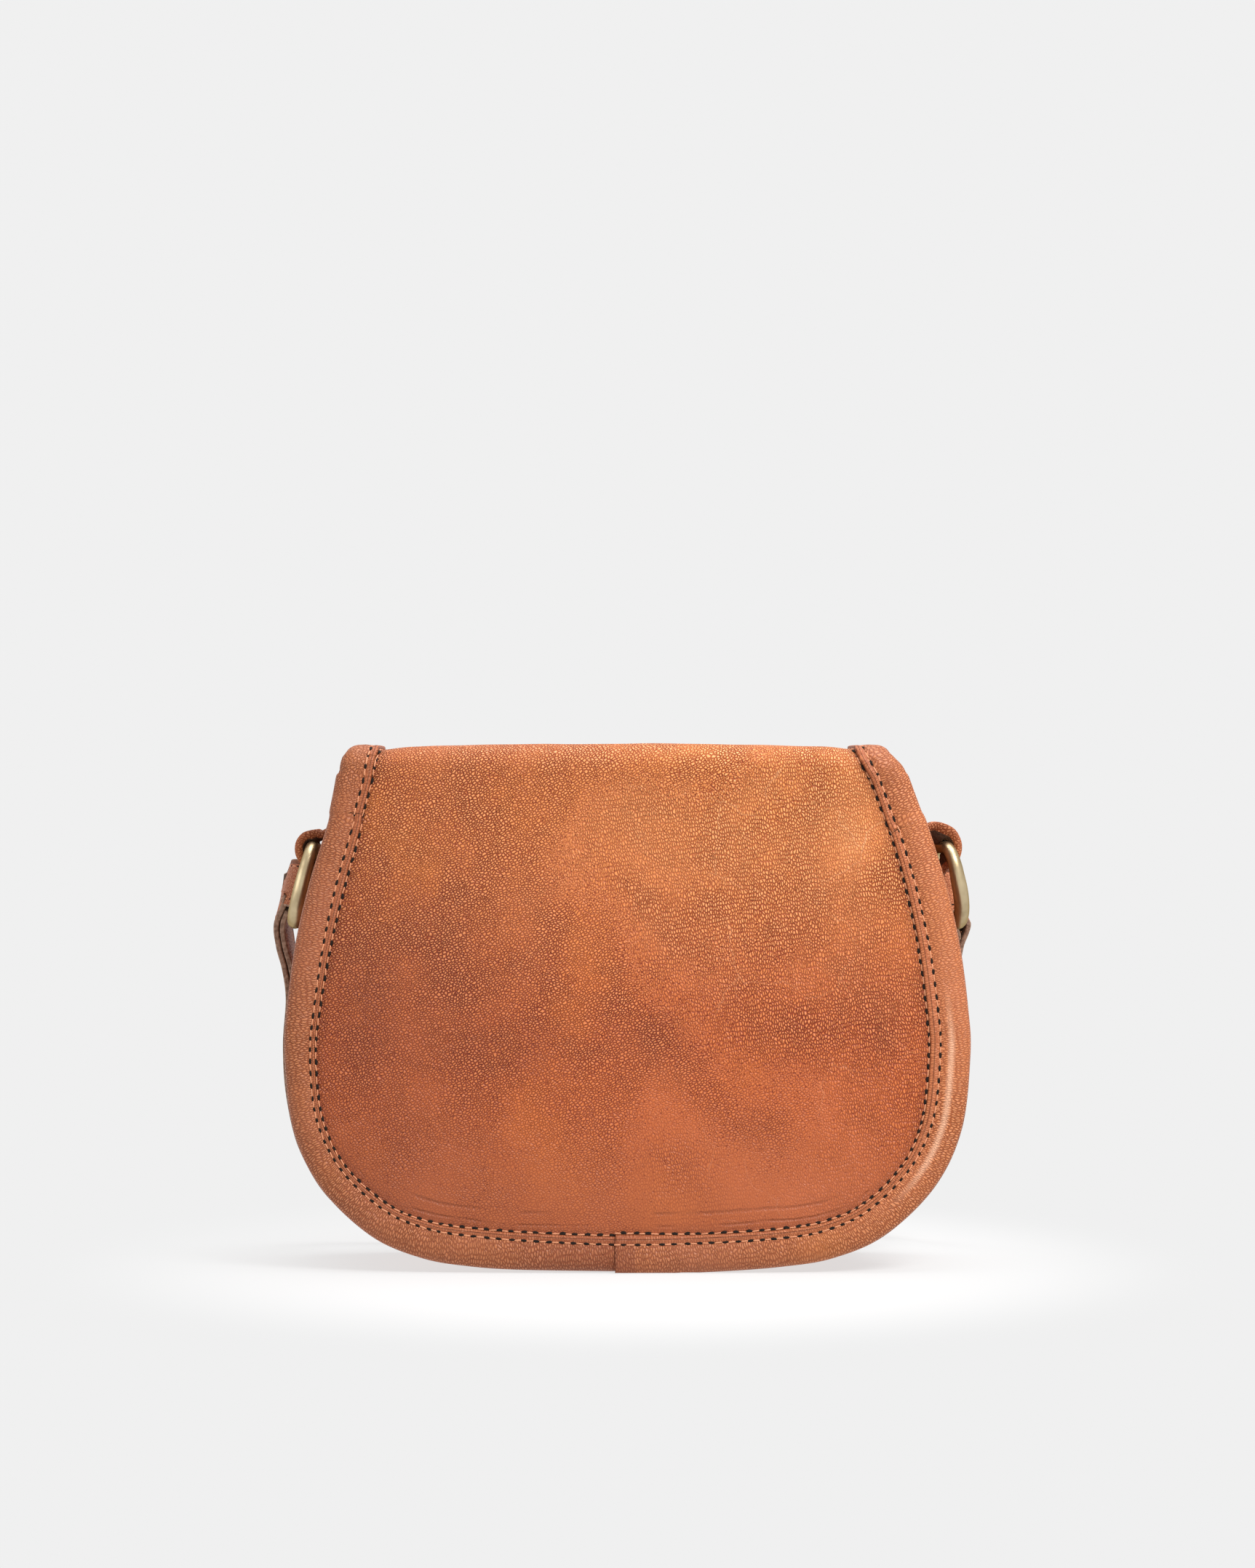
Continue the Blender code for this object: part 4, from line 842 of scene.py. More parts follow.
def sewn_panel(name, place, seam, faces, materials, waves, under=0.0025, lift=1.0, tuck=0.0):
    """A leather panel: pressed down and dimpled at its inner row of stitches, and swelling inside it.

    It reaches the distance under below the binding, measured from the inner row, and the distance tuck
    past its seam's ends, a little sunk there.
    """
    x, along = panel_rings(seam, seam["inner"] - under, tuck)
    beyond, spot = near_seam(x, along, seam)
    rise = ease(beyond, 0, 0.010)
    hole = hole_share(spot, seam["inner_holes"], 0.0009) * np.exp(-((beyond - 0.0002) / 0.0007) ** 2)
    pull = hole_share(spot, seam["inner_holes"], 0.0012) * ease(beyond, 0.004, 0)
    inward = faces[0] - lift * 0.00075 * rise + 0.00030 * hole + 0.00012 * pull
    inward = inward - ripple(x, along, waves) * ease(beyond, 0, 0.015)
    if place is skin:
        inward = inward - arch(x, along)
    if tuck:
        inward[:2, len(seam["place"]):] += 0.00008
    outer = place(x, along, inward)
    keep = [0] + list(range(8, x.shape[0], 5))
    inner_x, inner_along = x[keep], along[keep]
    inner = place(inner_x, inner_along, np.full(inner_x.shape, faces[1]))
    uv = [np.stack([x, along], axis=-1), np.stack([inner_x, inner_along], axis=-1)]
    return polar_sheet(name, outer, inner, materials, uv, np.stack([spot, beyond], axis=-1))


# Section of the rolled binding. The strip between the rows starts at its cut edge, as shares of the way
# from the outer row to the inner one, and the roll goes on to the outline, as shares of the way there.
# The second number of each point is its distance inward, in millimetres.
strip_map_width = 0.0026
strip_shares = np.array((
    (0.97, 1.05), (1.0, 0.75), (0.95, 0.42), (0.80, 0.24), (0.58, 0.18), (0.36, 0.22), (0.17, 0.36)))
roll_shares = np.array((
    (1.0, 0.48), (0.945, 0.31), (0.87, 0.06), (0.76, -0.22), (0.61, -0.38), (0.46, -0.36), (0.33, -0.14),
    (0.22, 0.28), (0.12, 0.92), (0.045, 1.80)))


def flat_top(along):
    """How much higher the binding's stitched strip stands over the top, where nothing presses it down."""
    return 0.00050 * ease(along, -0.006, 0.004) * (1 - ease(along, fold_at - 0.004, fold_at + 0.008))


def binding_section(outer, inner, inner_leg, roll, lifted):
    """Sections of the binding for each sample, as outward and inward distances, outer face first.

    outer and inner are the distances of the rows of stitches, roll is half the thickness that the binding
    wraps, and lifted raises its strip. After the roll it turns round the edge and ends in the other leg.
    """
    t = binding_leather
    outer, inner = outer[:, None], inner[:, None]
    inner_leg, roll = np.reshape(inner_leg, (-1, 1)), np.reshape(roll, (-1, 1))
    ones = np.ones_like(outer)
    strip_a = -outer - (inner - outer) * strip_shares[None, :, 0]
    strip_b = ones * strip_shares[None, :, 1] / 1000
    roll_a = -outer * roll_shares[None, :, 0]
    roll_b = ones * roll_shares[None, :, 1] / 1000 - lifted[:, None] * ease(roll_shares[:, 0], 0.55, 0.95)
    strip_b = strip_b - lifted[:, None] * np.array((0.0, 0.4, 0.9, 1.0, 1.0, 1.0, 1.0))
    edge = [(0.0, roll), (-0.0004, 2 * roll - 0.0017), (-0.0011, 2 * roll - 0.0009),
            (-0.0021, 2 * roll - 0.00035), (-0.0032, 2 * roll - 0.0001), (-0.0050, 2 * roll),
            (-inner_leg, 2 * roll), (-inner_leg, 2 * roll - t), (-0.0040, 2 * roll - t),
            (-0.0022, 2 * roll - 1.4 * t), (-0.0012, roll + t), (-0.0009, roll), (-0.0013, roll - t),
            (-0.0026, 1.5 * t), (-0.0060, t), (0.0008 - inner, 0.00115)]
    edge_a = np.hstack([ones * a for a, b in edge])
    edge_b = np.hstack([ones * b for a, b in edge])
    faced = len(strip_shares) + len(roll_shares) + 7
    return np.hstack([strip_a, roll_a, edge_a]), np.hstack([strip_b, roll_b, edge_b]), faced


def lap_raise(x):
    """How far the right strip's end stands off where it laps over the left one."""
    return lap_thickness * (1 - ease(x, lap_x, lap_x + lap_fade))


def narrow_lap(x):
    """How much narrower the left strip is where it runs in under the right one."""
    return 0.0010 * ease(x, -0.050, lap_x) * (x < lap_x + 0.012)


def narrow_top(x, along):
    """How much narrower the binding is above the hinge line, where the gusset no longer fills it."""
    step = np.where(x < 0, 0.0010, 0.0005)
    return step * ease(along, -0.0014, 0.0004) * (1 - ease(along, fold_at, fold_at + 0.020))


def sewn_binding(name, place, seam, keep, material, raised=None, narrowed=None):
    """The rolled binding swept along part of a seam, dimpled at its outer row of stitches.

    Below the hinge line it wraps panel and gusset, and above it the thinner flap. raised lifts the strip
    where its end laps over the other one, and narrowed draws it in where it runs under.
    """
    edge = seam["place"][keep]
    outward = seam["outward"][keep]
    distance = seam["distance"][keep]
    above = ease(edge[:, 1], -0.0025, 0.0015)
    if place is not skin:
        above = 0 * above
    outer, inner = seam["outer"][keep], seam["inner"][keep]
    leg = 0.0077 + (inner - 0.0002 - 0.0077) * above
    lifted = flat_top(edge[:, 1]) if place is skin else 0 * above
    a, b, faced = binding_section(outer, inner, leg, body_roll + (flap_roll - body_roll) * above, lifted)
    front = (np.arange(a.shape[1]) < faced)[None, :]
    hole = hole_share(distance, seam["outer_holes"], 0.0009)[:, None]
    pull = hole_share(distance, seam["inner_holes"], 0.0010)[:, None]
    soft = np.sin(distance * 310 + 1.0) * np.sin(distance * 187) + 0.7 * np.sin(distance * 660 + 2.0)
    b = b + front * (0.00030 * hole * np.exp(-((a + outer[:, None]) / 0.0007) ** 2)
                     + 0.00022 * pull * np.exp(-((a + inner[:, None]) / 0.0009) ** 2)
                     - 0.00007 * soft[:, None] * np.exp(-((a + 0.0048) / 0.003) ** 2))
    if raised is not None:
        turn_a, turn_b = np.gradient(a, axis=1), np.gradient(b, axis=1)
        size = np.hypot(turn_a, turn_b)
        lift = raised(edge[:, 0])[:, None]
        a, b = a + turn_b / size * lift, b - turn_a / size * lift
    if place is skin:
        narrow = narrow_top(edge[:, 0], edge[:, 1])
        if narrowed is not None:
            narrow = narrow + narrowed(edge[:, 0])
        a = a - narrow[:, None] * ease(a, -outer[:, None], 0.0)
    x = edge[:, None, 0] + outward[:, None, 0] * a
    along = edge[:, None, 1] + outward[:, None, 1] * a
    steps = np.hypot(np.diff(a, axis=1), np.diff(b, axis=1))
    width = np.hstack([np.zeros((len(a), 1)), np.cumsum(steps, axis=1)])
    width = width - width[:, len(strip_shares)][:, None]
    width[:, :len(strip_shares)] = -strip_map_width * strip_shares[:, 0]
    uv = np.stack([np.repeat(distance[:, None], a.shape[1], axis=1), width], axis=-1)
    return swept(name, place(x, along, b), material, uv)


def stitch_row(name, frames, holes, hole_size, thread_size=(0.00028, 0.00032), reach=0.56, sunk=0.00012):
    """One row of stitches: a dark flattened bead at each distance, painted shade standing for its hole, and
    raised thread between them.

    frames(distance, depth) gives places on the sewn surface, sunk into it, and their three directions.
    """
    here, tangent, across, normal = frames(holes, sunk)
    size = rng.uniform(0.85, 1.15, (len(holes), 3)) * (*hole_size, 0.00026)
    skew = rng.uniform(-0.18, 0.18, (len(holes), 1))
    axes = np.stack([unit(tangent + across * skew) * size[:, :1], across * size[:, 1:2],
                     normal * size[:, 2:]], axis=1)
    dark = scattered(f"{name}_holes", bead(3, 8, 0.9), here, axes, hole_shade)
    between = (holes[1:] + holes[:-1]) / 2
    span = (holes[1:] - holes[:-1]) / 2
    near = span < stitch_pitch
    here, tangent, across, normal = frames(between[near], 0.00004)
    size = rng.uniform(0.88, 1.12, (len(here), 2)) * thread_size
    skew = rng.uniform(-0.10, 0.10, (len(here), 1))
    axes = np.stack([unit(tangent + across * skew) * (span[near] * reach)[:, None], across * size[:, :1],
                     normal * size[:, 1:]], axis=1)
    thread = scattered(f"{name}_thread", bead(5, 6, 0.55), here, axes, thread_wax)
    return [dark, thread]


def beside_seam(place, seam, row, shift, inward, out=1):
    """Frames along a row of stitches, shifted inwards, at an inward depth; out is -1 on the far side.

    Where the right strip laps over the left one, its rows are raised and the inner one moves with it.
    """
    columns = np.column_stack([seam["place"], seam["outward"], seam[row]]).T

    def frames(distance, depth):
        spot = np.column_stack([np.interp(distance, seam["distance"], column) for column in columns])
        lapped = (seam is back_seam) * (spot[:, 0] > lap_x) * (spot[:, 1] < -hinge_height / 2)
        lap = lap_raise(spot[:, 0]) * lapped
        offset = spot[:, 4] + shift + lap * (row == "inner")
        x = spot[:, 0] - spot[:, 2] * offset
        along = spot[:, 1] - spot[:, 3] * offset
        level = inward + depth * out
        if place is skin:
            level = level - (arch(x, along) if row == "inner" else flat_top(spot[:, 1]))
        level = level - lap * (0.6 if row == "inner" else 1.0)
        here = place(x, along, level)
        ahead = place(x - spot[:, 3] * 0.0002, along + spot[:, 2] * 0.0002, level)
        tangent = unit(ahead - here)
        normal = unit(place(x, along, level - 0.0002 * out) - here)
        return here, tangent, unit(np.cross(normal, tangent)), normal

    return frames


def seam_stitches(name, place, seam, row, shift, inward, hole_size, out=1):
    """A row of stitches beside a seam, from end to end."""
    frames = beside_seam(place, seam, row, shift, inward, out)
    return stitch_row(name, frames, seam[f"{row}_holes"], hole_size)


# Bands: straps and tabs


def band_axes(points, widths):
    """Directions along, across and out of a band whose width lies along the given directions."""
    along = unit(np.gradient(points, axis=0))
    across = unit(widths - along * np.sum(widths * along, axis=1, keepdims=True))
    return along, across, np.cross(along, across)


def band(name, points, widths, width, thickness, side=1, sink=None, turned=False):
    """A flat leather band of two layers: soft rims, and a fine groove where the layers meet.

    A turned band has its leather folded round its rims instead. The section is a rounded rectangle swept
    along the points. side is 1 where the outer face lies along the cross product of its run and its width.
    sink moves the middle of each section away from its edges.
    """
    _, across, normal = band_axes(points, widths)
    half = np.broadcast_to(np.asarray(width, dtype=float) / 2, len(points))[:, None]
    t = thickness / 2
    rim = 0.0005
    edge = np.array(((-rim, t), (-0.00015, 0.75 * t), (0, 0.35 * t), (-0.00016, 0), (0, -0.35 * t),
                     (-0.00015, -0.75 * t), (-rim, -t)))
    if turned:
        around = np.radians((90, 60, 32, 0, -32, -60, -90))
        edge = t * np.column_stack([np.cos(around) - 1, np.sin(around)])
    shares = np.array((0.78, 0.70, 0.62, 0.36, 0.12, -0.12, -0.36, -0.62, -0.70, -0.78))
    dips = np.array((0, -0.00012, 0, 0, 0, 0, 0, 0, -0.00012, 0))
    v = np.concatenate([edge[:, 1], -(t + dips), -edge[:, 1], t + dips])
    u = np.hstack([half + edge[:, 0], half * shares, -half - edge[:, 0], -half * shares])
    grid = points[:, None] + across[:, None] * u[:, :, None] + normal[:, None] * v[None, :, None] * side
    if sink is not None:
        grid = grid + sink[:, None] * (1 - (u / half) ** 2)[:, :, None]
    distance = lengths_along(points)
    reach = np.concatenate([[0], np.cumsum(np.hypot(np.diff(u[0]), np.diff(v)))])
    uv = np.stack(np.broadcast_arrays(distance[:, None], reach[None, :]), axis=-1)
    slots = np.zeros(len(v), dtype=int)
    slots[len(edge) - 1:len(edge) + len(shares)] = 2
    if not turned:
        slots[:len(edge) - 1] = 1
        slots[len(edge) + len(shares):2 * len(edge) + len(shares) - 1] = 1
    return swept(name, grid, [strap_goat, cut_edge, flesh_side], uv, slots=slots)


def band_stitches(name, points, widths, width, thickness, side=1, start=0.003, end=0.003, sink=0.0, faces=2):
    """Rows of stitches near both edges of a band, on both of its faces or only on the outer one."""
    along, across, normal = band_axes(points, widths)
    distance = lengths_along(points)
    half = np.broadcast_to(np.asarray(width, dtype=float) / 2, len(points))
    made = []
    points = points + sink * (1 - (1 - band_row_inset / half[:, None]) ** 2)
    holes = np.arange(start, distance[-1] - end, stitch_pitch)
    holes = holes + rng.uniform(-0.07, 0.07, len(holes)) * stitch_pitch
    for word, face in (("outer", 1), ("inner", -1))[:faces]:
        for edge_word, edge in (("low", -1), ("high", 1)):
            columns = np.hstack([points + across * ((half - band_row_inset) * edge)[:, None], along, across,
                                 normal * side * face]).T

            def frames(where, depth, columns=columns):
                spot = np.column_stack([np.interp(where, distance, column) for column in columns])
                out = unit(spot[:, 9:])
                here = spot[:, :3] + out * (thickness / 2 - 0.0001 - depth)
                return here, unit(spot[:, 3:6]), unit(spot[:, 6:9]), out

            made += stitch_row(f"{name}_{word}_{edge_word}", frames, holes, (0.00055, 0.00038),
                               (0.00024, 0.00020), 0.62)
    return made


def round_wire(name, line, radius, material, closed=False, turned_from=(0, 0, 1)):
    """A round wire: circles of a given radius, which may vary, square to a line."""
    line = np.asarray(line, dtype=float)
    if closed:
        along = unit(np.roll(line, -1, axis=0) - np.roll(line, 1, axis=0))
    else:
        along = unit(np.gradient(line, axis=0))
    first = unit(np.cross(along, np.asarray(turned_from, dtype=float)))
    second = np.cross(along, first)
    around = np.linspace(0, 2 * math.pi, 21)[:-1]
    size = np.broadcast_to(np.asarray(radius, dtype=float), len(line))[:, None, None]
    circle = first[:, None] * np.cos(around)[:, None] + second[:, None] * np.sin(around)[:, None]
    return swept(name, line[:, None] + circle * size, material, closed_path=closed)


def turned_solid(name, profile, place, axis, material):
    """A solid of revolution from a profile of radius and height that starts and ends on the axis."""
    profile = np.asarray(profile, dtype=float)
    around = np.linspace(0, 2 * math.pi, 49)[:-1]
    first = unit(np.cross(axis, (1.0, 0, 0)))
    second = np.cross(axis, first)
    ring = np.cos(around)[:, None] * first + np.sin(around)[:, None] * second
    grid = place + profile[:, 1, None, None] * axis + profile[:, 0, None, None] * ring[None]
    return swept(name, grid, material)


# Camera

camera_distance = 1.5
camera_height = 0.1563
camera_data = bpy.data.cameras.new("camera")
camera_data.lens = 105.17
camera_data.sensor_width = 36
camera = bpy.data.objects.new("camera", camera_data)
camera.location = (0, -camera_distance, camera_height)
camera.rotation_euler = (math.pi / 2, 0, 0)
bpy.context.scene.collection.objects.link(camera)
bpy.context.scene.camera = camera


# Strap: from each ring down behind the bag, folded up there and closed by its buckle

left_route = (
    ((0.0045, 0.0135, 0.1150), (-0.14, 0.58, 0.79)),
    ((0.0048, 0.0175, 0.1075), (-0.02, 0.78, 0.62)),
    ((0.0036, 0.0220, 0.0990), (0.03, 0.90, 0.42)),
    ((0.0026, 0.0262, 0.0880), (0.03, 0.96, 0.28)),
    ((0.0036, 0.0305, 0.0720), (0.0, 0.94, 0.33)),
    ((0.0030, 0.0375, 0.0560), (0.0, 0.86, 0.50)),
    ((-0.0005, 0.0460, 0.0410), (0.0, 0.66, 0.75)),
    ((-0.0080, 0.0535, 0.0290), (0.0, 0.36, 0.93)),
    ((-0.0185, 0.0580, 0.0185), (0.0, 0.14, 0.99)),
    ((-0.0300, 0.0597, 0.0120), (0.0, 0.04, 1.0)),
    ((-0.0420, 0.0600, 0.0100), (0.0, 0.0, 1.0)),
    ((-0.0600, 0.0600, 0.0097), (0.0, 0.0, 1.0)),
)
right_route = (
    ((-0.0002, 0.0150, 0.1160), (-0.30, 0.56, 0.76)),
    ((-0.0018, 0.0205, 0.1080), (-0.24, 0.72, 0.66)),
    ((-0.0022, 0.0262, 0.0965), (-0.16, 0.84, 0.54)),
    ((-0.0014, 0.0315, 0.0850), (-0.08, 0.88, 0.47)),
    ((0.0006, 0.0365, 0.0740), (0.0, 0.90, 0.43)),
    ((0.0026, 0.0420, 0.0600), (0.0, 0.88, 0.47)),
    ((-0.0005, 0.0480, 0.0460), (0.0, 0.72, 0.70)),
    ((-0.0065, 0.0560, 0.0340), (0.0, 0.44, 0.90)),
    ((-0.0135, 0.0655, 0.0235), (0.0, 0.20, 0.98)),
    ((-0.0195, 0.0765, 0.0160), (0.0, 0.06, 1.0)),
    ((-0.0250, 0.0880, 0.0118), (0.0, 0.0, 1.0)),
    ((-0.0330, 0.0990, 0.0100), (0.0, 0.0, 1.0)),
    ((-0.0440, 0.1060, 0.0102), (0.0, 0.0, 1.0)),
    ((-0.0560, 0.1080, 0.0118), (0.0, 0.0, 1.0)),
)
fold_first_y = 0.0600
fold_pitch = 0.0120
fold_turn_x = 0.0520
fold_count = 5
fold_rest_z = 0.0097
turn_bulge = 0.0024
turn_run = 0.0120
buckle_wire = 0.0030
buckle_length = 0.0170
buckle_margin = 0.0006
buckle_corner = 0.0025
buckle_x = 0.0050
buckle_fold_length = 0.0260
buckle_ease_length = 0.0130
prong_wire = 0.0020
prong_overhang = 0.0030
prong_lift_room = 0.0003
size_hole_radius = 0.0014
size_hole_pitch = 0.0130
size_hole_first = 0.0090
keeper_leather = 0.0012
keeper_width = 0.0070
keeper_distance = 0.0160
tip_length = 0.0460
run_y = fold_first_y + fold_pitch * (fold_count - 1)
middle_z = strap_width / 2 + buckle_margin + buckle_wire + strap_gap
upright = np.array((0.0, 0.0, 1.0))


def ring_places(side, across, height):
    """Places on a ring's plane, given across the bag and up from the middle of its bar.

    The ring leans outwards, and the right one is also turned a little about the upright.
    """
    ring_tilt, yaw = ring_turns[side]
    outward = -np.asarray(height) * math.sin(ring_tilt) * side
    return np.stack(np.broadcast_arrays(
        side * ring_bar_x + outward * math.cos(yaw) - across * math.sin(yaw),
        middle_y + across * math.cos(yaw) + outward * math.sin(yaw),
        ring_bar_z + np.asarray(height) * math.cos(ring_tilt)), axis=-1)


def ring_contact(side):
    """Where the strap hangs on a ring's bow: the wire's centre, its direction, and the outboard side."""
    turns = strap_ring_angles[side] + np.array((0.0, 0.001))
    spots = ring_places(side, ring_half_width * np.sin(turns),
                        ring_half_width * (1 - np.cos(turns)) - ring_drop)
    along = unit(spots[1] - spots[0])
    plane = ring_places(side, np.array((0.0, 0.01, 0.0)), np.array((0.0, 0.0, -0.01)))
    outboard = unit(np.cross(plane[1] - plane[0], plane[2] - plane[0])) * -side
    return spots[0], along, outboard


def fold_turn(side, middle):
    """Points round one fold of the laid strap: a soft bulb that turns back on itself."""
    half = fold_pitch / 2
    bulb = half + turn_bulge
    turns = np.radians((-90, -45, 0, 45, 90))
    points = [(side * (fold_turn_x + bulb * math.cos(a)), middle + bulb * math.sin(a)) for a in turns]
    start_x = side * (fold_turn_x - turn_run)
    return [(start_x, middle - half)] + points + [(start_x, middle + half)]


def strap_samples(rows, step):
    """Even samples of a route with smoothly turning width directions."""
    points = np.array([p for p, _ in rows])
    widths = np.array([w for _, w in rows])
    length = np.sum(np.linalg.norm(np.diff(points, axis=0), axis=1))
    curve = smooth_curve(np.hstack([points, widths]), int(length / step), 0.5)
    return curve[:, :3], unit(curve[:, 3:])


def run_point(x, y, z=middle_z):
    """A point of the strap's buckled part, where it stands on edge."""
    return np.array([x, run_y + y, z]), upright


bar_x, far_x = buckle_x, buckle_x - buckle_length
beside = buckle_wire / 2 + strap_gap + strap_leather / 2
half_pair = (strap_leather + strap_gap) / 2
prong_y = buckle_wire / 2 + strap_gap + prong_wire / 2
over = prong_y + prong_wire / 2 + strap_gap + prong_lift_room + strap_leather / 2
stacked = half_pair + strap_leather + 2 * strap_gap
fold_end = bar_x + buckle_fold_length


def strap_route(side, route):
    """Rows of points and width directions from a ring's bow along a route."""
    centre, along, outboard = ring_contact(side)
    rows = [(centre + outboard * loop_fits[side][0], along)]
    mirror = np.array((side, 1, 1))
    rows += [((np.array(p) + (half_width, 0, 0)) * mirror, np.array(w) * mirror) for p, w in route]
    return rows


def strap_end(side, points, widths, word):
    """The folded end of the strap round its ring, with its stitches, and the rest of the route after it.

    A half turn round the wire joins the inner layer to the outer one, and both then come together.
    """
    loop_reach, gather_length = loop_fits[side]
    length = lengths_along(points)
    keep = length < strap_fold_length
    outer, across, measure = points[keep], widths[keep], length[keep]
    centre, wire, outboard = ring_contact(side)
    away = unit(np.cross(wire, outboard)) * side
    deep = loop_reach + strap_loop_slack
    turn = np.radians(np.arange(168, 0, -12))[:, None]
    reach = loop_inner_reach + (loop_reach - loop_inner_reach) * (1 + np.cos(turn)) / 2
    arc = centre + outboard * reach * np.cos(turn) - away * deep * np.sin(turn)
    along = unit(np.gradient(outer, axis=0))
    apart = strap_leather + strap_gap
    open_share = 1 - ease(measure, 0, gather_length)[:, None]
    normal = unit(np.cross(along, across) * side * (1 - open_share) + outboard * open_share)
    inner = outer - normal * (apart + (loop_reach + loop_inner_reach - apart) * open_share)
    line = np.vstack([inner[::-1], arc, outer])
    directions = np.vstack([across[::-1], np.tile(wire, (len(arc), 1)), across])
    position = np.concatenate([measure[::-1], np.zeros(len(arc)), measure])
    share = np.clip(position / gather_length, 0, 1)
    width = strap_end_width + (strap_width - strap_end_width) * share
    smooth = smooth_curve(np.column_stack([line, directions, width]), int(lengths_along(line)[-1] / 0.0008))
    line, directions, width = smooth[:, :3], unit(smooth[:, 3:6]), smooth[:, 6]
    name = f"strap_loop_{word}"
    pieces = [band(name, line, directions, width, strap_leather, side)]
    pieces += band_stitches(name, line, directions, width, strap_leather, side, 0.002, 0.001)
    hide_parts(f"strap_end_{word}")
    after = length > measure[-1] - 1e-9
    return pieces, points[after], widths[after]


right_rows = strap_route(1, right_route) + [run_point(fold_end + buckle_ease_length, 0)]
near_bar = [run_point(fold_end - strap_gap, half_pair), run_point(bar_x + 3 * beside, half_pair)]
wrap = [run_point(bar_x + beside * math.cos(a), beside * math.sin(a)) for a in np.radians(range(60, 301, 30))]
back = [run_point(bar_x + 3 * beside, -half_pair), run_point(fold_end - strap_gap, -half_pair)]
points, widths = strap_samples(right_rows, 0.0012)
right_end, points, widths = strap_end(1, points, widths, "right")
fine_points, fine_widths = strap_samples([right_rows[-1]] + near_bar + wrap + back, 0.0007)
short_points = np.vstack([points, fine_points[1:]])
short_widths = np.vstack([widths, fine_widths[1:]])
strap_short = band("short_strap", short_points, short_widths, strap_width, strap_leather)
short_stitches = band_stitches("short_strap", short_points, short_widths, strap_width, strap_leather, 1)

left_rows = strap_route(-1, left_route)
for fold in range(fold_count - 1):
    side = 1 if fold % 2 == 0 else -1
    middle = fold_first_y + fold_pitch * (fold + 0.5)
    left_rows += [(np.array([x, y, fold_rest_z]), upright) for x, y in fold_turn(side, middle)]
left_rows += [run_point(far_x - buckle_length, 0, (middle_z + fold_rest_z) / 2)]
crossing = [left_rows[-1], run_point(far_x, -beside), run_point((far_x + bar_x) / 2, (over - beside) / 2),
            run_point(bar_x, over), run_point(bar_x + 2 * beside, (over + stacked) / 2),
            run_point(bar_x + 4 * beside, stacked), run_point(bar_x + tip_length, stacked)]
points, widths = strap_samples(left_rows, 0.0012)
left_end, points, widths = strap_end(-1, points, widths, "left")
fine_points, fine_widths = strap_samples(crossing, 0.0007)
long_points = np.vstack([points, fine_points[1:]])
long_widths = np.vstack([widths, fine_widths[1:]])
to_tip = lengths_along(long_points)[-1] - lengths_along(long_points)
tip_width = strap_width * np.sqrt(np.clip(1 - (1 - np.clip(to_tip / 0.009, 0, 1)) ** 2.2, 0.10, 1))
strap_long = band("long_strap", long_points, long_widths, tip_width, strap_leather, -1)
long_stitches = band_stitches("long_strap", long_points, long_widths, strap_width, strap_leather, -1,
                              end=0.010)
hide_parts("strap_short")
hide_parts("strap_long")



def rounded_corners(count):
    """Turns round a rounded rectangle, and the side that each point's corner lies on, across and up."""
    quarter = np.arange(count) * 4 // count
    sign_across = np.where((quarter == 0) | (quarter == 3), 1, -1)
    return np.radians(np.arange(count) * 360 / count), sign_across, np.where(quarter < 2, 1, -1)


half_height = strap_width / 2 + buckle_margin + buckle_wire / 2
half_length = (bar_x - far_x) / 2
corner_turns, sign_x, sign_z = rounded_corners(48)
frame_line = np.column_stack([
    (bar_x + far_x) / 2 + sign_x * (half_length - buckle_corner) + buckle_corner * np.cos(corner_turns),
    np.full(48, run_y),
    middle_z + sign_z * (half_height - buckle_corner) + buckle_corner * np.sin(corner_turns)])
buckle = round_wire("buckle", frame_line, buckle_wire / 2, antique_brass, True, (0, 1, 0))
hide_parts("buckle_frame")
hook_turns = np.radians(np.arange(-150, 91, 10))
hook = np.column_stack([prong_y * np.cos(hook_turns), prong_y * np.sin(hook_turns)])
arm = np.column_stack([np.linspace(0, far_x - bar_x - prong_overhang, 14)[1:], np.full(13, prong_y)])
hook = np.vstack([hook, arm])
hook = np.column_stack([bar_x + hook[:, 0], run_y + hook[:, 1], np.full(len(hook), middle_z)])
prong_radius = np.full(len(hook), prong_wire / 2)
prong_radius[-3:] = prong_wire / 2 * np.array((0.95, 0.8, 0.5))
prong = round_wire("prong", hook, prong_radius, antique_brass, False, (0, 0, 1))
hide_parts("buckle_prong")

behind, front = half_pair + strap_leather / 2, stacked + strap_leather / 2
keeper_turns, sign_y, sign_z = rounded_corners(32)
keeper_corner = 2 * strap_gap + keeper_leather / 2
keeper_line = np.column_stack([
    np.full(32, bar_x + keeper_distance),
    run_y + (front - behind) / 2 + sign_y * (behind + front) / 2 + keeper_corner * np.cos(keeper_turns),
    middle_z + sign_z * strap_width / 2 + keeper_corner * np.sin(keeper_turns)])
keeper_out = np.column_stack([np.zeros(32), np.cos(keeper_turns), np.sin(keeper_turns)])
k, t = keeper_width / 2, keeper_leather / 2
section = np.array((
    (k - 0.0003, t), (k, t * 0.5), (k, -t * 0.5), (k - 0.0003, -t), (0.001 - k, -t), (0.0003 - k, -t),
    (-k, -t * 0.5), (-k, t * 0.5), (0.0003 - k, t), (0.0012 - k, t - 0.00012), (0, t),
    (k - 0.0012, t - 0.00012)))
keeper_grid = (keeper_line[:, None] + np.array([1.0, 0, 0]) * section[None, :, :1]
               + keeper_out[:, None] * section[None, :, 1:])
keeper_uv = np.stack(np.broadcast_arrays(lengths_along(keeper_line)[:, None], section[None, :, 0]), axis=-1)
keeper = swept("keeper", keeper_grid, strap_goat, keeper_uv, closed_path=True)
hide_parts("keeper_loop")

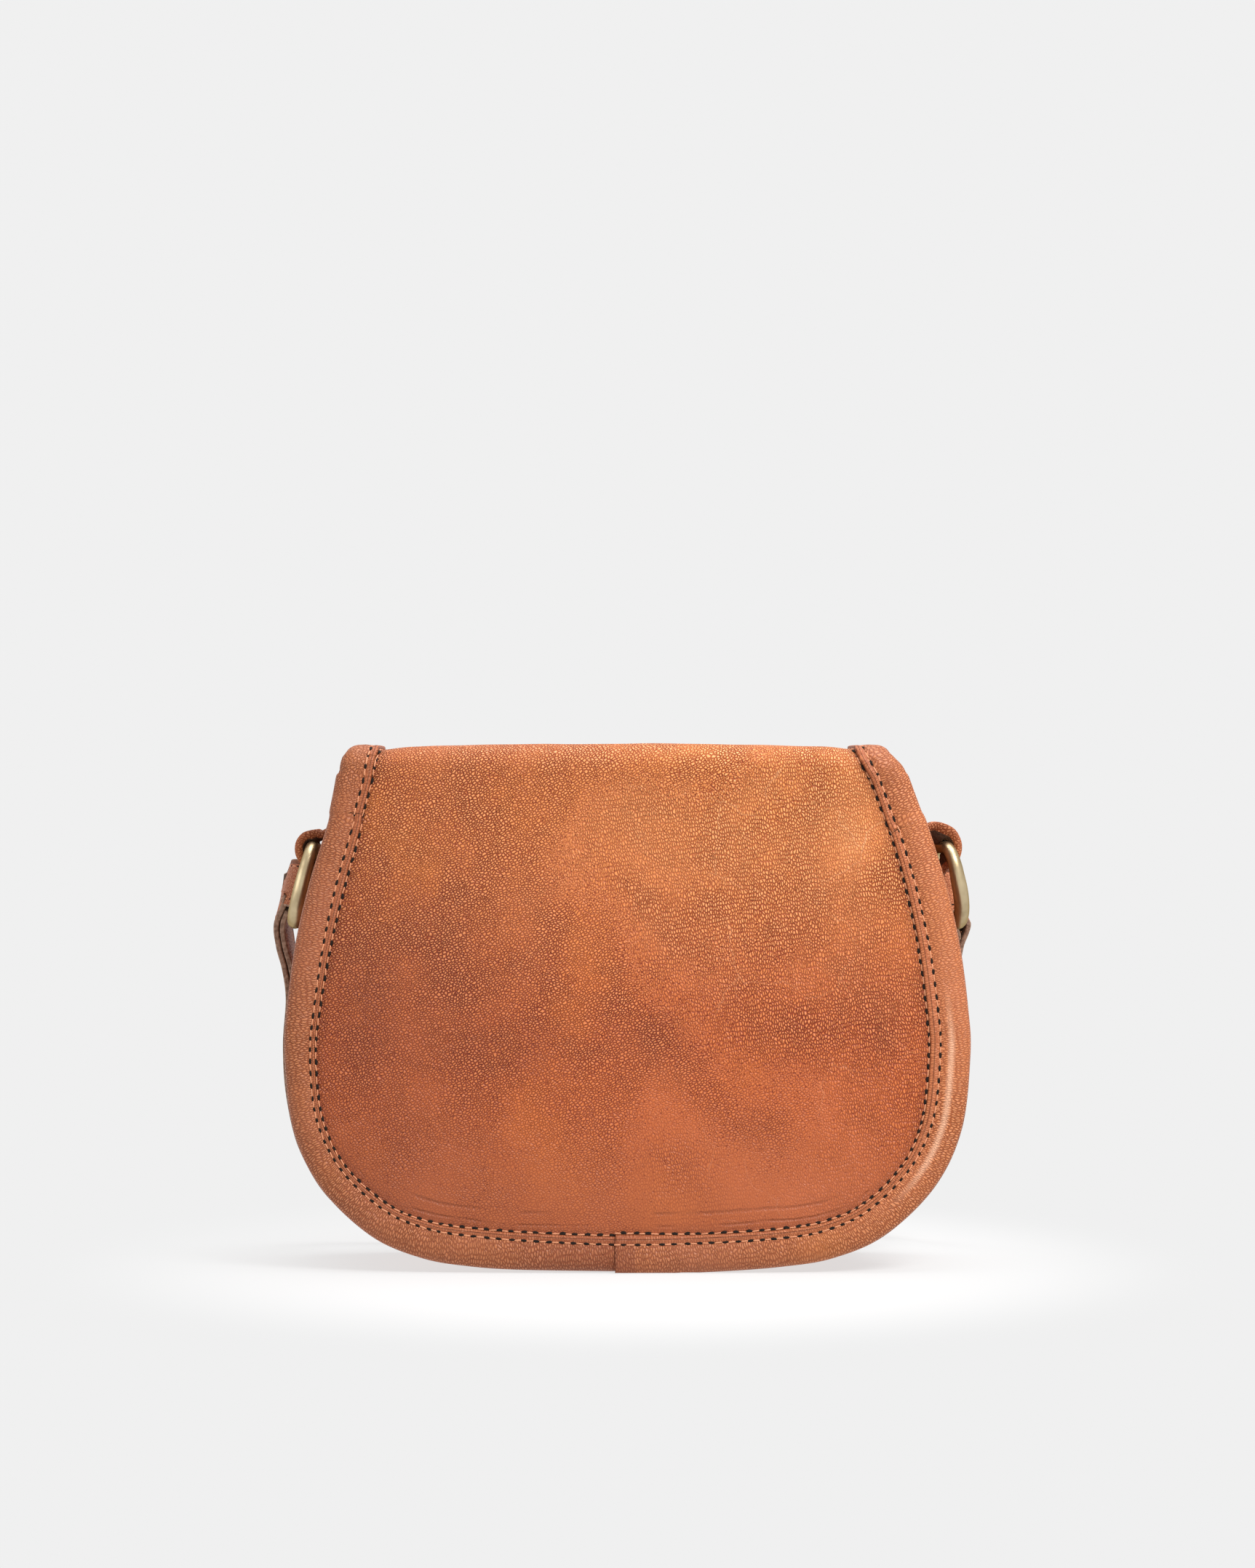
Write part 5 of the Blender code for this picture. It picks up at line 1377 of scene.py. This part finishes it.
size_holes = [
    run_point(far_x - size_hole_first, 0), run_point(far_x - size_hole_first - size_hole_pitch, 0),
    run_point(bar_x + 2 * size_hole_pitch, stacked), run_point(bar_x + 3 * size_hole_pitch, stacked)]
hole_places = np.array([p for p, _ in size_holes])
hole_axes = np.array([[(size_hole_radius, 0, 0), (0, 0, size_hole_radius), (0, strap_leather * 0.58, 0)]] * 4)
# Near-black beads in the size holes: painted shade standing for the holes
holes = scattered("size_holes", bead(3, 16, 0.35), hole_places, hole_axes, hole_shade)

cord_pieces = [strap_long, strap_short, buckle, keeper, holes] + left_end + right_end
cord_pieces += short_stitches + long_stitches
for piece in cord_pieces:
    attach(piece, "root")
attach(prong, "prong_body")


# Leather of the back, the flap and the front


def seam_side(seam, body_value, flap_value):
    """A value for each sample of a seam: one below the hinge line and another above it."""
    share = ease(seam["place"][:, 1], -0.004, 0.002)
    return body_value + (flap_value - body_value) * share


panel_sides = [panel_leather, flesh_side]
panel_faces = (panel_face, panel_back)
panel_waves = 0.00016
back_skin = sewn_panel("back_skin", skin, back_seam, panel_faces, panel_sides, panel_waves, tuck=0.0009)
flap_skin = sewn_panel("flap_skin", skin, flap_seam, panel_faces, panel_sides, panel_waves)
front_skin = sewn_panel("front_skin", front_wall, front_seam, panel_faces, panel_sides, panel_waves)
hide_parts("back_panel", "flap_top")
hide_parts("flap_front")
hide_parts("front_panel")


def left_sink(x):
    """The left strip's end thins away under the right one."""
    return -0.0003 * ease(x, lap_x - 0.001, lap_x + 0.003)


numbers = np.arange(len(back_seam["place"]))
bottom = np.abs(numbers - len(numbers) / 2) < 60
past_lap = numbers[bottom & (back_seam["place"][:, 0] > lap_x)][0]
past_under = numbers[bottom & (back_seam["place"][:, 0] > lap_x + lap_under)][0]
left_strip = sewn_binding("back_binding_left", skin, back_seam, slice(0, past_under), binding_goat,
                          left_sink, narrow_lap)
right_strip = sewn_binding("back_binding_right", skin, back_seam, slice(past_lap, None), binding_goat,
                           lap_raise)
flap_strip = sewn_binding("flap_binding", skin, flap_seam, slice(None), binding_goat)
front_strip = sewn_binding("front_strip", front_wall, front_seam, slice(None), binding_goat)
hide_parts("back_binding", "flap_top_binding_left")
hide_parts("flap_top_binding_right")
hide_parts("flap_front_binding")
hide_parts("front_binding")

outer_hole, inner_hole = (0.00118, 0.00050), (0.00112, 0.00068)


def both_rows(word, place, seam):
    """The outer and the inner row of stitches beside a seam."""
    made = seam_stitches(f"{word}_outer", place, seam, "outer", 0.0, outer_row_depth, outer_hole)
    made += seam_stitches(f"{word}_inner", place, seam, "inner", inner_row_shift, panel_face, inner_hole)
    return made


back_pieces = [back_skin, left_strip, right_strip] + both_rows("back", skin, back_seam)
flap_pieces = [flap_skin, flap_strip] + both_rows("flap", skin, flap_seam)
flap_pieces += seam_stitches("flap_inside", skin, flap_seam, "outer", 0.0, 2 * flap_roll, outer_hole, -1)
front_pieces = [front_skin, front_strip] + both_rows("front", front_wall, front_seam)


# Linings, gusset and its lining

lining_faces = (lining_face, lining_back)
lining_waves = 0.0001
back_inset = seam_side(back_seam, lining_wall, flap_lining_inset)
back_lining = sewn_panel("back_lining_cloth", skin, back_seam, lining_faces, lining_twill, lining_waves,
                         back_seam["inner"] - back_inset, 0.0)
flap_lining = sewn_panel("flap_lining_cloth", skin, flap_seam, lining_faces, lining_twill, lining_waves,
                         flap_seam["inner"] - flap_lining_inset, 0.0)
front_lining = sewn_panel("front_lining_cloth", front_wall, front_seam, lining_faces, lining_twill,
                          lining_waves, front_seam["inner"] - lining_wall, 0.0)
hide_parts("back_lining", "flap_top_lining")
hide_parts("flap_front_lining")
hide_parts("front_lining")
back_pieces.append(back_lining)
flap_pieces.append(flap_lining)
front_pieces.append(front_lining)


def between_panels(seam, outward, side, inward):
    """Points between the two panels: outward from the seam's outline and inward from one side's face."""
    x = seam["place"][:, 0] + seam["outward"][:, 0] * outward
    z = seam["place"][:, 1] + hinge_height + seam["outward"][:, 1] * outward
    y = middle_y + side * (half_depth(z) - inward)
    return np.column_stack([x, y, z - sole_flat])


def gusset_band(name, seam, wall, thickness, flange, material, sag):
    """The strip between the panels: a flange on each panel, a soft turn, and a wall with slow ripples.

    Each column of the grid is a line along the seam, at a distance inward from the outline.
    """
    low = ease(seam["place"][:, 1], -0.055, -0.09)
    distance = seam["distance"]
    grid = []
    for face, turn in ((0, 1), (1, -1)):
        a, b = wall + face * thickness, flange + (1 - face) * thickness
        soft = 0.0007 if face == 0 else 0.0014
        lines = [(-body_roll, -1, b), (-0.6 * a, -1, b), (-a + soft, -1, b),
                 (-a + 0.3 * soft, -1, b + 0.3 * soft), (-a, -1, b + soft)]
        columns = [between_panels(seam, *line) for line in lines]
        far = [between_panels(seam, out, 1, inward) for out, _, inward in lines[::-1]]
        across = np.linspace(0, 1, 15)[1:-1]
        for share in across:
            bow = math.sin(math.pi * share)
            wave = np.sin(distance * 95 + share * 5) * np.sin(distance * 41 + 1)
            wave = wave + 0.5 * np.sin(distance * 210)
            out = sag * bow * (low * 1.2 + low * wave * 0.5)
            wall_line = columns[-1] * (1 - share) + far[0] * share
            wall_line = wall_line + np.column_stack([seam["outward"][:, 0] * out, 0 * out,
                                                     seam["outward"][:, 1] * out])
            grid.append(wall_line)
        whole = columns + grid[-13:] + far
        del grid[-13:]
        grid += whole[::turn]
    grid = np.stack(grid, axis=1)
    reach = np.concatenate([[0], np.cumsum(np.linalg.norm(np.diff(grid[len(grid) // 2], axis=0), axis=1))])
    uv = np.stack(np.broadcast_arrays(distance[:, None], reach[None, :]), axis=-1)
    return swept(name, grid, material, uv)


gusset_sag = 0.0006
cloth_flange = 0.0040
gusset = gusset_band("gusset_band", front_seam, gusset_wall, gusset_back - gusset_face, gusset_face,
                     strap_goat, gusset_sag)
cloth = gusset_band("gusset_cloth", front_seam, lining_wall, lining_cloth, cloth_flange, lining_twill,
                    gusset_sag)
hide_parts("gusset")
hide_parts("gusset_lining")
front_pieces += [gusset, cloth]


# Rings and their tabs


def wall_place(z, inside):
    """A place on the side wall at height z, a distance inside the outline, as x and height."""
    rows = np.column_stack([front_seam["place"][:, 0] - front_seam["outward"][:, 0] * inside,
                            front_seam["place"][:, 1] + hinge_height - front_seam["outward"][:, 1] * inside])
    right = rows[len(rows) // 2:]
    slope = (right[-1, 0] - right[-12, 0]) / (right[-1, 1] - right[-12, 1])
    x = np.interp(z, right[:, 1], right[:, 0])
    x = x + slope * max(0, z - right[-1, 1])
    return np.array([x, z - sole_flat])


tab_foot_depth = gusset_wall - 2 * strap_gap - tab_leather / 2
tab_turns = np.radians((128, 100, 60, 20, -20, -52, -84))
tab_arch = {-1: np.array((0.0060, 0.0054, 0.0051, 0.0049, 0.0052, 0.0060, 0.0068)),
            1: np.array((0.0090, 0.0080, 0.0068, 0.0058, 0.0058, 0.0066, 0.0073))}
tab_pinch = np.array((0.0022, 0.0024, 0.0027, 0.0031, 0.0033, 0.0034, 0.0036))


def tab_path(arch_radii):
    """The tab's middle line on one side: from its upper foot on the wall round the bar to its lower one."""
    around = np.column_stack([np.cos(tab_turns), np.sin(tab_turns)]) * arch_radii[:, None]
    line = np.vstack([
        wall_place(ring_bar_z + 0.0210, tab_foot_depth),
        wall_place(ring_bar_z + 0.0120, tab_foot_depth - 0.0004),
        np.array([ring_bar_x, ring_bar_z]) + around,
        wall_place(ring_bar_z - 0.0180, tab_foot_depth - 0.0004),
        wall_place(ring_bar_z - 0.0260, tab_foot_depth)])
    return smooth_curve(line, 90)


# The ring's wire as a flat line: its bar, one corner, the bow below, and the other corner
straight = ring_half_width - ring_corner
corner_turn = np.linspace(0, math.pi / 2, 10)
bow_turn = np.linspace(0, math.pi, 40)
turn_in, turn_down = ring_corner * np.sin(corner_turn), ring_corner * (np.cos(corner_turn) - 1)
ring_line = np.vstack([
    np.column_stack([np.linspace(-straight, straight, 12), np.zeros(12)]),
    np.column_stack([straight + turn_in, turn_down])[1:],
    np.column_stack([ring_half_width * np.cos(bow_turn),
                     ring_half_width - ring_drop - ring_half_width * np.sin(bow_turn)]),
    np.column_stack([-straight - turn_in, turn_down])[::-1][:-1]])
ring_radius = ring_wire / 2 * (1 - 0.16 * ease(ring_line[:, 1], -0.012, -0.002))

side_pieces = []
for side, word in ((-1, "left"), (1, "right")):
    tab_line = tab_path(tab_arch[side])
    tab_sink = tab_path(tab_pinch) - tab_line
    points = np.column_stack([side * tab_line[:, 0], np.full(len(tab_line), middle_y), tab_line[:, 1]])
    widths = np.tile((0.0, 1.0, 0.0), (len(points), 1))
    sink = np.column_stack([side * tab_sink[:, 0], np.zeros(len(tab_sink)), tab_sink[:, 1]])
    tab = band(f"tab_{word}", points, widths, tab_width, tab_leather, side, sink, True)
    tab_stitches = band_stitches(f"tab_{word}", points, widths, tab_width, tab_leather, side, sink=sink,
                                 faces=1)
    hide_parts(f"ring_tab_{word}")
    side_pieces += [tab] + tab_stitches
    ring = round_wire(f"ring_{word}", ring_places(side, ring_line[:, 0], ring_line[:, 1]), ring_radius,
                      antique_brass, True, ring_contact(side)[2])
    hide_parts(f"d_ring_{word}")
    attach(ring, f"ring_{word}_body")
front_pieces += side_pieces


# Magnetic snap

lean_normal = np.array([0, math.cos(lean), math.sin(lean)])
snap_height = 0.0750
snap_place = front_wall(np.array([0.0]), np.array([snap_height - hinge_height]), 0.0)[0]
seat = -panel_face + strap_gap
stud_top = flap_proud - lining_back - strap_gap
socket = turned_solid("snap_socket_dished", (
    (0, 0), (0.0068, 0), (0.0073, 0.0002), (0.0075, 0.0006), (0.0075, 0.0016), (0.0072, 0.0021),
    (0.0066, 0.0024), (0.0052, 0.0024), (0.0047, 0.0021), (0.0040, 0.0021), (0.0034, 0.0024),
    (0.0029, 0.0023), (0.0027, 0.0019), (0.0027, 0.0004), (0, 0.0004)),
    snap_place + lean_normal * seat, lean_normal, antique_brass)
stud = turned_solid("snap_stud_dished", (
    (0, 0.0011), (0.0066, 0.0011), (0.0072, 0.0009), (0.0075, 0.0005), (0.0073, 0.0001), (0.0068, 0),
    (0.0045, 0), (0.0040, -0.0002), (0.0022, -0.0002), (0.0016, -0.0004), (0.0015, -0.0008), (0, -0.0009)),
    snap_place + lean_normal * (stud_top - 0.0011), lean_normal, antique_brass)
washer = turned_solid("snap_washer_plate", (
    (0, 0.0005), (0.0080, 0.0005), (0.0085, 0.0004), (0.0085, 0.0001), (0.0080, 0), (0, 0)),
    snap_place + lean_normal * (-lining_back - 2 * strap_gap - 0.0005), lean_normal, antique_brass)
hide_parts("snap_socket")
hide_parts("snap_stud")
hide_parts("snap_washer")
for thing, body in ((socket, "root"), (washer, "root"), (stud, "flap_front_body")):
    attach(thing, body)


# Back and flap pieces baked in place; front pieces ride on the root

hinge_below = 0.0056
fold_half_blend = 0.0045
hinge_start = tuple(float(v) for v in skin(0.0, -hinge_below, 0.0))
fold_start = tuple(float(v) for v in skin(0.0, fold_at - fold_half_blend, 0.0))
fold_end = tuple(float(v) for v in skin(0.0, fold_at + fold_half_blend, 0.0))
for piece in back_pieces:
    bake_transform(piece)
for piece in flap_pieces:
    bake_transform(piece)
for piece in front_pieces:
    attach(piece, "root")


# Light and backdrop


def area_lamp(name, place, aim, size, energy):
    """A white rectangular lamp at a place, aimed at a point."""
    lamp = bpy.data.lights.new(name, "AREA")
    lamp.shape = "RECTANGLE"
    lamp.size, lamp.size_y = size
    lamp.energy = energy
    thing = bpy.data.objects.new(name, lamp)
    thing.location = place
    thing.rotation_euler = (Vector(aim) - Vector(place)).to_track_quat("-Z", "Y").to_euler()
    bpy.context.scene.collection.objects.link(thing)


area_lamp("key", (0.36, -0.50, 0.62), (0.03, 0, 0.12), (0.32, 0.32), 5.8)
area_lamp("fill", (-1.0, -0.35, 0.35), (0, 0, 0.08), (0.8, 0.8), 2.4)
area_lamp("top", (0.10, 0.10, 1.1), (0, 0, 0.05), (0.9, 0.7), 8.5)


def backdrop():
    """A pale floor that fades into an even pale background for the camera, and soft light all round. Round
    the bag the floor's glow is a little stronger: a painted pool of light.
    """
    world = bpy.data.worlds.new("studio")
    bpy.context.scene.world = world
    world.use_nodes = True
    tree = world.node_tree
    light = tree.nodes["Background"]
    light.inputs["Color"].default_value = (1, 1, 1, 1)
    light.inputs["Strength"].default_value = 0.30
    shown = tree.nodes.new("ShaderNodeBackground")
    shown.inputs["Color"].default_value = (0.871, 0.871, 0.871, 1)
    path = tree.nodes.new("ShaderNodeLightPath")
    seen = path.outputs["Is Camera Ray"]
    for ray in ("Is Glossy Ray", "Is Transmission Ray"):
        either = tree.nodes.new("ShaderNodeMath")
        either.operation = "MAXIMUM"
        tree.links.new(seen, either.inputs[0])
        tree.links.new(path.outputs[ray], either.inputs[1])
        seen = either.outputs[0]
    mix = tree.nodes.new("ShaderNodeMixShader")
    tree.links.new(seen, mix.inputs[0])
    tree.links.new(light.outputs[0], mix.inputs[1])
    tree.links.new(shown.outputs[0], mix.inputs[2])
    tree.links.new(mix.outputs[0], tree.nodes["World Output"].inputs[0])
    floor_size = 3.0
    points = np.array([(-1, -1, 0), (1, -1, 0), (1, 1, 0), (-1, 1, 0)]) * floor_size
    data = bpy.data.meshes.new("floor")
    data.from_pydata([tuple(p) for p in points], [], [(0, 1, 2, 3)])
    floor = bpy.data.objects.new("floor", data)
    bpy.context.scene.collection.objects.link(floor)
    paper = finish("pale_floor", Base_Color=(0.93, 0.93, 0.93, 1), Roughness=0.9, Specular_IOR_Level=0.1)
    place = node(paper, "ShaderNodeTexCoord").outputs["Object"]
    oval = node(paper, "ShaderNodeMapping", {"Vector": place, "Scale": (1.35, 1.0, 1.0)}).outputs[0]
    away = vector_maths(paper, "LENGTH", {0: oval})["Value"]
    fade = remap(paper, away, 0.10, 0.25, 0.72, 1.0)
    # Painted pool of light: the floor's glow is a little stronger round the bag
    glow = node(paper, "ShaderNodeEmission", {
        "Color": (0.871, 0.871, 0.871, 1), "Strength": remap(paper, away, 0.12, 0.27, 1.06, 1.0)})
    joined = node(paper, "ShaderNodeMixShader", {0: fade})
    tree = paper.node_tree
    tree.links.new(tree.nodes["Principled BSDF"].outputs[0], joined.inputs[1])
    tree.links.new(glow.outputs[0], joined.inputs[2])
    tree.links.new(joined.outputs[0], tree.nodes["Material Output"].inputs[0])
    data.materials.append(paper)


backdrop()
bpy.context.scene.view_settings.view_transform = "Standard"
